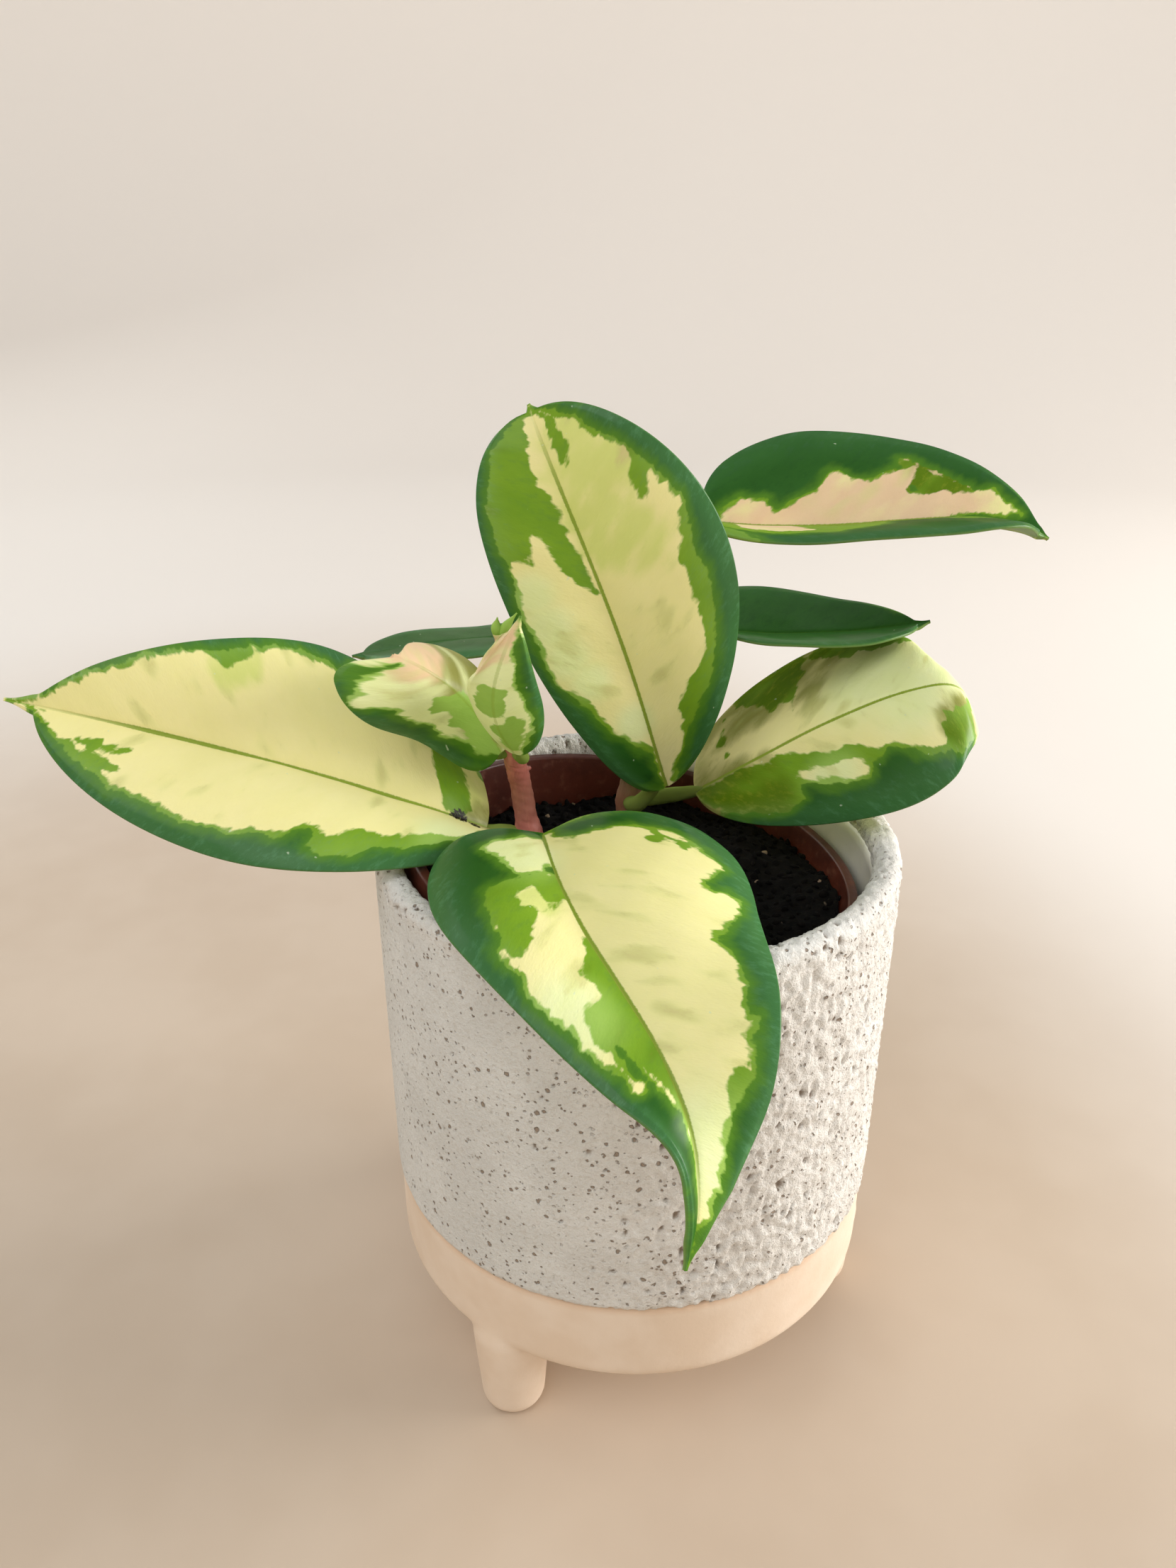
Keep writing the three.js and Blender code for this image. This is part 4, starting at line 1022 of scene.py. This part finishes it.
ZONES = {
    "leaf_upright": dict(
        fringe=0.7,
        dark=[margin(-1, (0, -.05), (.1, -.15), (.15, -.38), (.2, -.6), (.25, -.68), (.3, -.74),
                     (.35, -.84), (.4, -.86), (.55, -.86), (.6, -.8), (.7, -.84), (.8, -.84), (.9, -.8),
                     (.97, -.5), (1, -.3)),
              margin(1, (.02, .6), (.1, .58), (.15, .6), (.2, .66), (.25, .77), (.3, .8), (.4, .79),
                     (.5, .78), (.55, .74), (.6, .8), (.65, .83), (.7, .8), (.75, .78), (.8, .76),
                     (.85, .7), (.9, .64), (.95, .6), (1, .4))],
        mid=[[(1, -.35), (.96, -.25), (.91, -.2), (.86, -.23), (.81, -.24), (.78, -.23), (.76, -.16),
              (.72, -.1), (.69, -.1), (.645, -.105), (.595, -.07), (.54, -.045), (.5, -.03),
              (.53, -.13), (.58, -.25), (.615, -.3), (.66, -.36), (.69, -.44), (.665, -.505),
              (.625, -.54), (.64, -.69), (.65, -.92), (.67, -1.1), (1, -1.1)],
             [(.83, .95), (.81, .78), (.76, .7), (.74, .62), (.715, .57), (.69, .56), (.67, .6),
              (.69, .65), (.7, .68), (.71, .74), (.735, .81), (.73, .95), (.8, 1)],
             [(.99, .5), (.95, .43), (.9, .36), (.87, .36), (.84, .34), (.82, .24), (.8, .15),
              (.81, .08), (.85, .12), (.89, .2), (.93, .22), (.98, .15)],
             [(.66, .86), (.63, .76), (.57, .72), (.535, .62), (.475, .66), (.405, .67), (.34, .7),
              (.29, .63), (.23, .48), (.195, .39), (.17, .49), (.12, .56), (.12, .8), (.3, .9),
              (.6, .95)]],
        lime=[(.8, .36, 11), (.62, .3, 9), (.7, .2, 7)],
        # The mint patches down this leaf's left margin are partly a painted sheen.
        mint_and_sheen=[(.19, -.2, 4), (.56, -.68, 4.5), (.48, -.66, 5), (.4, -.62, 4.5), (.33, -.5, 4)]),
    "leaf_left": dict(
        fringe=0.7,
        dark=[margin(-1, (.03, -.6), (.1, -.7), (.15, -.75), (.22, -.78), (.27, -.8), (.295, -.87),
                     (.35, -.87), (.385, -.8), (.375, -.7), (.385, -.63), (.41, -.67), (.44, -.74),
                     (.475, -.76), (.52, -.78), (.57, -.8), (.615, -.82), (.64, -.8), (.665, -.77),
                     (.71, -.79), (.745, -.8), (.78, -.78), (.835, -.75), (.855, -.68), (.9, -.6),
                     (.95, -.6)),
              margin(1, (.02, .95), (.2, .96), (.38, .93), (.4, .82), (.42, .85), (.45, .89), (.48, .91),
                     (.53, .94), (.65, .88), (.72, .96), (.8, .92), (.9, .95), (.97, .9))],
        mid=[[(.385, -.66), (.34, -.66), (.3, -.6), (.24, -.64), (.18, -.6), (.12, -.64), (.08, -.58),
              (.08, -.75), (.15, -.8), (.25, -.86), (.35, -.9), (.39, -.8)],
             [(.845, -.43), (.81, -.3), (.78, -.33), (.74, -.29), (.74, -.33), (.765, -.4), (.8, -.45),
              (.84, -.55)],
             [(.86, -.5), (.825, -.55), (.785, -.5), (.75, -.53), (.74, -.57), (.755, -.63), (.78, -.65),
              (.8, -.8), (.86, -.8)],
             [(.69, 1.1), (.69, .92), (.66, .85), (.63, .8), (.62, .73), (.605, .7), (.595, .78),
              (.57, .83), (.57, 1.1)],
             [(.17, .62), (.16, .5), (.145, .35), (.13, .2), (.115, .05), (.07, 0), (.045, .15),
              (.06, .4), (.075, .6), (.095, .75), (.15, .75)],
             [(.95, -.4), (.9, -.15), (.93, 0), (1, .1), (1, -.5)]],
        lime=[(.6, .75, 5), (.06, .5, 8)], olive=[(.01, .1, 5)], mint_and_sheen=[(.12, -.75, 7)],
        dirt=[(.075, -.02, 3.2), (.045, -.25, 1.8)]),
    "leaf_front": dict(
        fringe=0.7, split=True,
        dark=[margin(-1, (.0, -.1), (.04, -.1), (.07, -.2), (.07, -.5), (.09, -.66), (.115, -.75),
                     (.16, -.79), (.2, -.83), (.255, -.86), (.285, -.74), (.3, -.71), (.32, -.75),
                     (.325, -.83), (.355, -.9), (.4, -.87), (.425, -.76), (.45, -.66), (.47, -.7),
                     (.5, -.73), (.525, -.77), (.575, -.74), (.6, -.75), (.605, -.83), (.615, -.85),
                     (.635, -.7), (.645, -.75), (.69, -.75), (.735, -.5), (.77, -.5), (.795, -.52),
                     (.825, -.55), (.86, -.62), (.9, -.55), (.94, .2), (1.1, .2)),
              block(-.1, -.3, 1.1, 1.3)],
        mid=[[(.14, -.55), (.1, -.63), (.12, -.68), (.165, -.76), (.185, -.7), (.155, -.65),
              (.155, -.58)],
             [(.66, -.55), (.67, -.48), (.685, -.43), (.69, -.47), (.72, -.47), (.715, -.6),
              (.69, -.75), (.665, -.68)]],
        over=[[(.225, .6), (.21, .5), (.2, .38), (.19, .23), (.175, .05), (.18, -.3), (.27, -.3),
               (.285, .17), (.295, .28), (.32, .37), (.34, .43), (.355, .45), (.375, .62), (.385, .7),
               (.36, .76), (.33, .68), (.3, .67), (.25, .65)],
              [(.33, -.3), (.35, .06), (.37, .08), (.41, .18), (.425, .3), (.45, .27), (.475, .28),
               (.495, .47), (.515, .6), (.545, .7), (.575, .62), (.6, .58), (.6, .5), (.56, .5),
               (.6, .42), (.64, .3), (.7, .16), (.78, .1), (.86, .08), (.86, -.3)]],
        cream=[[(.09, .55), (.07, .5), (.06, .35), (.04, .2), (.03, -.3), (.14, -.3), (.145, .08),
                (.17, .12), (.18, .2), (.19, .28), (.155, .35), (.13, .4), (.11, .48)],
               [(.235, .37), (.23, .25), (.25, .2), (.27, .12), (.285, .2), (.285, .3), (.275, .38),
                (.255, .42)],
               [(.36, .77), (.38, .78), (.41, .75), (.44, .8), (.46, .82), (.49, .8), (.51, .74),
                (.525, .7), (.547, .74), (.575, .72), (.595, .63), (.645, .6), (.6, .58),
                (.575, .62), (.545, .7), (.515, .6), (.495, .47), (.475, .28), (.45, .27),
                (.425, .3), (.41, .18), (.37, .08), (.35, .06), (.34, -.3), (.255, -.3), (.255, .05),
                (.285, .17), (.295, .28), (.32, .37), (.34, .43), (.355, .45), (.375, .62),
                (.385, .7), (.36, .76)]],
        lime=[(.26, .28, 4)], mint_and_sheen=[(.12, .3, 8), (.5, .65, 7), (.78, -.2, 10)]),
    "leaf_lower_right": dict(
        fringe=0.8, split=True, bloom=(0, 1), gloss=(0.1, 1),
        dark=[margin(1, (.06, .9), (.08, .85), (.15, .82), (.2, .78), (.25, .68), (.255, .52),
                     (.275, .52), (.325, .58), (.395, .64), (.42, .62), (.44, .55), (.47, .53),
                     (.485, .48), (.5, .47), (.55, .55), (.6, .66), (.65, .72), (.69, .76), (.75, .85),
                     (.87, .85))],
        mid=[[(.3, -1.3), (.3, -.93), (.305, -.68), (.295, -.58), (.285, -.4), (.28, -.24),
              (.275, -.36), (.265, -.42), (.245, -.45), (.23, -.38), (.215, -.42), (.2, -.48),
              (.18, -.56), (.17, -.66), (.155, -.72), (.12, -.9), (.1, -1.3)],
             [(.1, -.8), (.1, -.5), (.095, -.25), (.085, -.45), (.07, -.5)],
             margin(-1, (.32, -.78), (.35, -.78), (.395, -.7), (.405, -.66), (.435, -.6), (.46, -.66),
                    (.505, -.62), (.55, -.66), (.6, -.7), (.62, -.75), (.66, -.85)),
             [(.0, -.3), (.0, .02), (.107, .02), (.145, .05), (.18, .1), (.22, .17), (.228, .1),
              (.25, .15), (.285, .2), (.325, .25), (.37, .3), (.4, .31), (.435, .35),
              (.465, .42), (.485, .45), (.505, .45), (.55, .5), (.6, .6), (.65, .65),
              (.69, .69), (.695, .55), (.68, .46), (.705, .42), (.7, .35), (.75, .32),
              (.8, .3), (.87, .15), (.87, 1.3), (.0, 1.3)]],
        cream=[[(.25, .38), (.285, .4), (.335, .42), (.375, .43), (.415, .46), (.43, .55),
                (.42, .61), (.4, .62), (.36, .6), (.32, .56), (.3, .5), (.275, .48)]],
        olive=[(.08, .6, 11), (.17, .45, 7), (.2, -.9, 16), (.78, .5, 8)],
        mint_and_sheen=[(.8, -.5, 16), (.34, .52, 5), (.5, -.3, 12), (.6, 0, 10)]),
    "leaf_upper_right": dict(
        fringe=0.4, split=True, bloom=(0.4, 0.5),
        dark=[block(-.1, .3, 1.1, -1.3),
              [(.45, -.3), (1.1, -.3), (1.1, 1.3), (0, 1.3), (0, .72), (.3, .72), (.42, .5), (.45, .2)]],
        mid=[block(-.1, -.3, .5, 1.3)],
        over=[[(.62, .3), (.62, -.12), (.75, -.2), (.9, -.2), (.95, .3)],
              [(.5, -.5), (.505, -.72), (.54, -.72), (.6, -.6), (.68, -.52), (.72, -.45), (.7, -.3),
               (.55, -.28)]],
        cream=[[(.055, .3), (.055, -.15), (.07, -.22), (.095, -.32), (.11, -.28), (.16, -.27),
                (.163, -.18), (.178, -.16), (.207, -.19), (.243, -.26), (.285, -.32), (.3, -.38),
                (.32, -.46), (.342, -.51), (.368, -.43), (.405, -.41), (.43, -.43), (.455, -.48),
                (.488, -.54), (.515, -.6), (.55, -.66), (.55, -.61), (.525, -.47), (.513, -.37),
                (.505, -.33), (.558, -.31), (.622, -.35), (.68, -.4), (.71, -.47), (.75, -.6),
                (.76, -.56), (.79, -.45), (.85, -.4), (.8, -.12), (.62, -.05), (.5, .3)],
               [(.07, -.3), (.2, -.2), (.24, .3), (.27, .5), (.265, .62), (.2, .6), (.1, .55)]],
        blush=[(.2, -.15, 16), (.4, -.15, 16), (.6, -.15, 14)], lime=[(.52, -.55, 6)],
        olive=[(.21, -.6, 5), (.6, -.55, 8)]),
    "leaf_young_left": dict(
        fringe=0.5, tender=1.0, vein=0.35,
        dark=[margin(-1, (.93, -.2), (.92, -.5), (.885, -.62), (.86, -.72), (.82, -.83), (.8, -.95),
                     (.77, -.93), (.73, -.85), (.685, -.72), (.65, -.65), (.61, -.66), (.57, -.67),
                     (.49, -.62), (.44, -.65), (.36, -.55), (.28, -.58), (.24, -.6), (.19, -.5),
                     (.13, -.45), (0, -.5))],
        mid=[[(.52, -.35), (.53, -.22), (.48, -.08), (.47, .05), (.1, .05), (0, 0), (0, -.6),
              (.1, -.4), (.15, -.33), (.22, -.33), (.28, -.4), (.33, -.4), (.34, -.28), (.42, -.28),
              (.46, -.4)]],
        olive=[(.3, .7, 13), (.5, .8, 13), (.75, .85, 11)], blush=[(.8, .35, 7), (.97, .2, 2.5)]),
    "leaf_young_right": dict(
        fringe=0.5, tender=1.0, vein=0.35,
        dark=[margin(1, (1, .2), (.95, .3), (.83, .35), (.79, .42), (.73, .5), (.635, .57), (.56, .63),
                     (.49, .7), (.41, .78), (.3, .77), (.23, .76), (.13, .72), (0, .7))],
        mid=[[(.58, -.55), (.6, -.4), (.57, -.1), (.58, .2), (.5, .28), (.44, .2), (.38, .2),
              (.3, -.2), (.38, -.6), (.48, -.7)],
             [(.26, -.3), (.3, .1), (.36, .25), (.4, .42), (.37, .65), (.25, .62), (.17, .5),
              (.05, .3), (.02, 0), (.1, -.3), (.2, -.5)]],
        blush=[(.85, -.4, 4)]),
    "leaf_mid_right": dict(fringe=0.5, vein=0.4, bloom=(0.3, 0.4), dark=[block(-.2, -1.5, 1.2, 1.5)]),
    "leaf_mid_left": dict(fringe=0.5, vein=0.4, dark=[block(-.2, -1.5, 1.2, 1.5)]),
}

# %% [markdown]
# Shares become millimetres with the leaf's own length and width. A point's distance to a zone is the
# shortest one to its outline, and counts as positive inside. Mid green over dark takes the dark away,
# and cream takes both, save a fringe of mid green round it.

# %% Distances to the zones
def plane_mm(leaf, along, across):
    left, right = (half_width(leaf[side], leaf["drip"], np.clip(along, 0.001, 0.999))
                   for side in ("left", "right"))
    return np.stack([along * leaf_length(leaf), across * np.where(across < 0, left, right)], axis=-1)


def inside_by(leaf, spots, outlines):
    best = np.full(len(spots), -99.0)
    for outline in outlines:
        corners = np.asarray(outline, float)
        after = np.roll(corners, -1, axis=0)
        fine = np.concatenate([corners + (after - corners) * s for s in np.arange(0, 1, 0.2)], axis=1)
        line = plane_mm(leaf, *fine.reshape(-1, 2).T)
        near = np.full(len(spots), 1e9)
        crossings = np.zeros(len(spots), int)
        for start, step in zip(line, np.roll(line, -1, axis=0) - line):
            if step @ step < 1e-12:
                continue
            share = np.clip((spots - start) @ step / (step @ step), 0, 1)
            near = np.minimum(near, np.linalg.norm(spots - start - share[:, None] * step, axis=1))
            rises = (spots[:, 1] < start[1]) != (spots[:, 1] < start[1] + step[1])
            if abs(step[1]) > 1e-12:
                at = start[0] + (spots[:, 1] - start[1]) / step[1] * step[0]
                crossings += rises & (spots[:, 0] < at)
        best = np.maximum(best, np.where(crossings % 2 == 1, near, -near))
    return best


def half_zones(leaf, zones, spots, side):
    layers = []
    for key in ("dark", "mid", "over", "cream"):
        outlines = zones.get(key, [])
        if zones.get("split"):
            outlines = [o for o in outlines if np.sum([c for _, c in o]) * side > 0]
        layers.append(inside_by(leaf, spots, outlines))
    dark, mid, mid_over_dark, cream = layers
    dark = np.minimum(np.minimum(dark, -mid_over_dark), -cream - zones["fringe"])
    mid = np.maximum(np.minimum(np.maximum(mid, mid_over_dark), -cream), dark + zones["fringe"])
    return dark, mid


def patches(leaf, zones, spots, key):
    share = np.zeros(len(spots))
    for along, across, reach in zones.get(key, []):
        middle = plane_mm(leaf, np.array([along]), np.array([across]))[0]
        apart = np.linalg.norm(spots - middle, axis=1)
        share = np.maximum(share, smoothstep(apart, reach * 1.4, reach * 0.4))
    return share


def zone_values(leaf, zones, along, across):
    spots = plane_mm(leaf, along, across)
    lime, olive, blush, mint_and_sheen, dirt = (patches(leaf, zones, spots, key)
                                      for key in ("lime", "olive", "blush", "mint_and_sheen", "dirt"))
    # The margins' bluish painted sheen, a painted reflection, is given per half; gloss is the coat's shine.
    bloom, gloss = (np.where(across < 0, *zones.get(key, (1, 1))) for key in ("bloom", "gloss"))
    left, right = (half_zones(leaf, zones, spots, side) for side in (-1, 1))
    dark, mid = (np.where(across > 0, r, l) for l, r in zip(left, right))
    vein = smoothstep(along, 1.0, 0.7) * zones.get("vein", 1.0)
    return {"zones": np.stack([dark, mid, vein], axis=-1), "tones": np.stack([lime, olive, blush], axis=-1),
            "tender": np.maximum(mint_and_sheen, zones.get("tender", 0)), "dirt": dirt,
            "bloom": bloom * smoothstep(np.abs(across), 0.55, 1), "gloss": gloss}


# %% [markdown]
# A blade is one closed skin: rows from base to tip, each a loop that runs over the upper face, round
# the margin and back under the lower one. The upper face gets a sunken midrib, soft furrows along the
# side veins, and a lip that turns down at the margin. Stalk and rib are one tube under it.

# %% Blade skins
OLD_GRID, YOUNG_GRID = (118, 30), (90, 22)
CHANNEL, FURROW, SWELL, FINE_SWELL, LIP, UNDER_RIB = 0.13, 0.03, 0.16, 0.06, 0.35, 0.35


def relief(leaf, u, v, seed):
    length, width = np.moveaxis(plane_mm(leaf, u, v), -1, 0)
    out, full = np.abs(width), tip_share(leaf, u, 0)
    vein_line = length - VEIN_SLANT * out
    channel = CHANNEL * np.exp(-(out / 0.5) ** 2) * smoothstep(u, 1.0, 0.75)
    channel = channel * (0.3 if leaf.get("young") else 1)
    furrows = FURROW * (np.sin(vein_line * 0.9 + seed) + np.sin(vein_line * 0.53 + 3 * seed))
    furrows = furrows * smoothstep(out, 1, 5) * (1 - v ** 4)
    swell = SWELL * np.sin(length * 0.17 + seed) * np.sin(width * 0.23 + 2 * seed)
    swell = swell + FINE_SWELL * np.sin(length * 0.43 + 2 * seed) * np.sin(width * 0.51 + seed)
    lip = LIP * smoothstep(np.abs(v), 0.88, 1) * full
    rib = UNDER_RIB * np.exp(-(out / 0.8) ** 2) * smoothstep(u, 0.95, 0.7)
    return furrows + swell * full - channel - lip, rib - furrows * 0.5 - swell * full + lip * 0.6


def round_rim(top, bottom, inner, side):
    middle, radius = (top + bottom) / 2, np.linalg.norm(top - bottom, axis=1, keepdims=True) / 2
    up, outward = unit(top - bottom), unit(top - inner)
    outward = unit(outward - up * (outward * up).sum(1, keepdims=True))
    angles = np.radians([50, 0, -50])[::side]
    return np.stack([middle + radius * (math.cos(a) * outward + math.sin(a) * up) for a in angles], axis=1)


def blade_skin(leaf, seed):
    young = leaf.get("young", False)
    rows, half_columns = YOUNG_GRID if young else OLD_GRID
    along = 0.5 - 0.5 * np.cos(np.pi * np.linspace(0.02, 0.98, rows + 1))
    even = np.linspace(-1, 1, 2 * half_columns + 1)
    u, v = np.meshgrid(along, np.sign(even) * np.abs(even) ** 1.3, indexing="ij")
    face, normal = blade_point(leaf, u, v), blade_normal(leaf, u, v)
    depth = (YOUNG_THICK if young else THICK) * (1 - (1 - EDGE_SHARE) * v ** 2) * tip_share(leaf, u, 0.4)
    above_face, below_face = relief(leaf, u, v, seed)
    upper, lower = face + normal * above_face[..., None], face - normal * (depth + below_face)[..., None]
    right = round_rim(upper[:, -1], lower[:, -1], upper[:, -2], 1)
    left = round_rim(upper[:, 0], lower[:, 0], upper[:, 1], -1)
    loop = np.concatenate([upper, right, lower[:, ::-1], left], axis=1)
    margin_row, count = np.ones((rows + 1, 3)), loop.shape[1]
    across = np.concatenate([v, margin_row, v[:, ::-1], -margin_row], axis=1)
    top_side = np.r_[np.ones(v.shape[1]), 0.9, 0.5, 0.1, np.zeros(v.shape[1]), 0.1, 0.5, 0.9]
    points = np.vstack([loop.reshape(-1, 3), loop[0].mean(0), loop[-1].mean(0)])
    faces = (between_rings(rows + 1, count) + fan(0, count, len(points) - 2, -1)
             + fan(rows * count, count, len(points) - 1))
    return (points, faces, np.r_[np.repeat(along, count), along[0], along[-1]],
            np.r_[across.ravel(), 0, 0], np.r_[np.tile(top_side, rows + 1), 1, 1])


# %% Stalks, and the blades with them
RIB = [(0.03, 0.62, 1.05), (0.18, 0.48, 0.85), (0.5, 0.35, 0.75)]
STALK_RADIUS, YOUNG_STALK_RADIUS, STALK_ZONES = 1.7, 1.3, np.array([-9.0, 0.3, 0.0])


def stalk_skin(leaf):
    young = leaf.get("young", False)
    radius, thick = (YOUNG_STALK_RADIUS, YOUNG_THICK) if young else (STALK_RADIUS, THICK)
    points = [(*p, radius) for p in leaf["stalk"]]
    for along, share, sunk in RIB:
        place = blade_point(leaf, along, 0) - blade_normal(leaf, along, np.array(0.0)) * sunk * thick
        points.append((*place, share * radius))
    return tube(points, sides=18, count=60, rough=0.03)


for seed, (name, leaf) in enumerate(LEAVES.items()):
    points, faces, along, across, upper = blade_skin(leaf, seed + 1.0)
    values = zone_values(leaf, ZONES[name], along, across)
    values["leaf_plane"] = np.column_stack([plane_mm(leaf, along, across), np.full(len(along), seed)])
    values["upper_face"] = upper
    stalk = stalk_skin(leaf)
    for key, data in values.items():
        bare = np.zeros((len(stalk[0]), *data.shape[1:])) + (STALK_ZONES if key == "zones" else 0)
        values[key] = np.concatenate([data, bare])
    piece = mesh_object(name.replace("leaf", "blade"), *joined((points, faces), stalk), values)
    finish_piece(piece, leaf_tricolor, name)


# %% [markdown]
# The young shoot ends in two leaflets of a few millimetres, which part like a beak. Each is a short
# tube that swells in its middle, in the leaf's own tender green, and pink where it starts.

# %% Leaflets at the shoot's tip
def leaflet(bend, tip, width):
    return tube([(-25.2, 3.2, 145, 0.6), (*bend, width), (*tip, 0.15)], sides=16, count=26)


points, faces = joined(leaflet((-25.5, 2.6, 147.8), (-25.2, 1.8, 150), 1.0),
                       leaflet((-23.9, 2.3, 148), (-21.7, 1.3, 151), 0.9))
pink = smoothstep(points[:, 2], 147.4, 146)
none, full = np.zeros(len(points)), np.ones(len(points))
leaflets = mesh_object("shoot_leaflets", points, faces, {
    "leaf_plane": points * [1, 1, 0] + [0, 0, 20], "upper_face": full, "tender": 1 - pink,
    "zones": np.stack([none - 9, 9 - 18 * pink, none], axis=-1),
    "tones": np.stack([none, none, pink], axis=-1), "dirt": none, "bloom": none, "gloss": full})
finish_piece(leaflets, leaf_tricolor)

# %% [markdown]
# The stage is a plain pale sweep: flat where the plant stands, and bent up far out into a wall all
# round, so no edge shows from any side. Its paint is a warm beige near the plant and paler further
# out, partly a two-tone paint and partly painted light on the far sweep, and the pale comes sooner on
# the window's side, a painted pool of window light. A large soft light stands low to the right, as a
# window; weaker ones are the room's, above the camera, the sky's, behind, and one for the wall at the
# back. The camera stands where the photograph was taken from: a little above the plant and close to it,
# looking down by 25 degrees. A light's row holds its place and the point that it looks at, in metres,
# its size, its watts and its colour.

# %% Floor, lights and camera
SWEEP, BEND, SWEEP_HEIGHT = 1600, 600, 1000
EYE_MM, LOOK_DOWN, LOOK_LEFT, SENSOR_MM, LENS_MM = [-0.5, -198.4, 211.7], 25.1, 2.47, 24, 18.02
SKY_COLOUR, SKY_STRENGTH = (0.93, 0.97, 1, 1), 0.43
LAMPS = {
    "window": ((1.18, 0.2, 0.4), (0, 0, 0.1), (0.8, 0.55), 18.5, (1, 0.985, 0.96)),
    "room": ((-0.3, -0.55, 0.95), (0, 0, 0.12), (0.9, 0.7), 5.0, (0.98, 0.99, 1)),
    "sky_behind": ((-0.75, 0.8, 0.6), (0, 0, 0.12), (0.8, 0.6), 2.6, (0.9, 0.96, 1)),
    "back_wall": ((0.4, 0.7, 1.0), (0.25, 1.6, 0.2), (1.2, 0.5), 2.2, (0.97, 0.98, 1)),
}
floor_material, tree, shader, place = new_material("pale floor", Roughness=0.6)
away = put(tree, "ShaderNodeVectorMath", {0: place}, operation="LENGTH").outputs["Value"]
# Painted window light: the floor turns pale sooner on the window's side.
towards_window = most(split(place)[0], 0.0)
away = times(towards_window, 1.3, away)
beige = blend(mottling(place, 60.0), (195, 175, 153), (200, 181, 160))
link(blend(ramp(away, 0.24, 0.6), beige, (228, 220, 211)), shader.inputs["Base Color"])
sweep = [(SWEEP, SWEEP_HEIGHT)] + arc(SWEEP - BEND, BEND, BEND, 0, -90, 20) + [(0, 0)]
floor = mesh_object("floor", *turned(finer(sweep, 250), sides=96))
floor.data.materials.append(floor_material)

world = bpy.data.worlds.new("soft room")
world.use_nodes = True
sky = world.node_tree.nodes["Background"].inputs
sky[0].default_value, sky[1].default_value = SKY_COLOUR, SKY_STRENGTH
bpy.context.scene.world = world

for name, (place, aim, size, power, colour) in LAMPS.items():
    light = bpy.data.lights.new(name, "AREA")
    light.shape, light.size, light.size_y = "RECTANGLE", *size
    light.energy, light.color = power, colour
    lamp = new_object(name, light)
    lamp.location = place
    lamp.rotation_euler = (Vector(aim) - Vector(place)).to_track_quat("-Z", "Y").to_euler()

lens = bpy.data.cameras.new("photo camera")
lens.sensor_fit, lens.sensor_height, lens.lens, lens.clip_start = "VERTICAL", SENSOR_MM, LENS_MM, 0.005
camera = new_object("photo camera", lens)
camera.location = Vector(in_frame(EYE_MM))
camera.rotation_euler = (math.radians(90 - LOOK_DOWN), 0, math.radians(LOOK_LEFT))
bpy.context.scene.camera = camera
bpy.context.scene.view_settings.view_transform = "Standard"
print("stage:", floor.name, "with the lights", ", ".join(LAMPS))
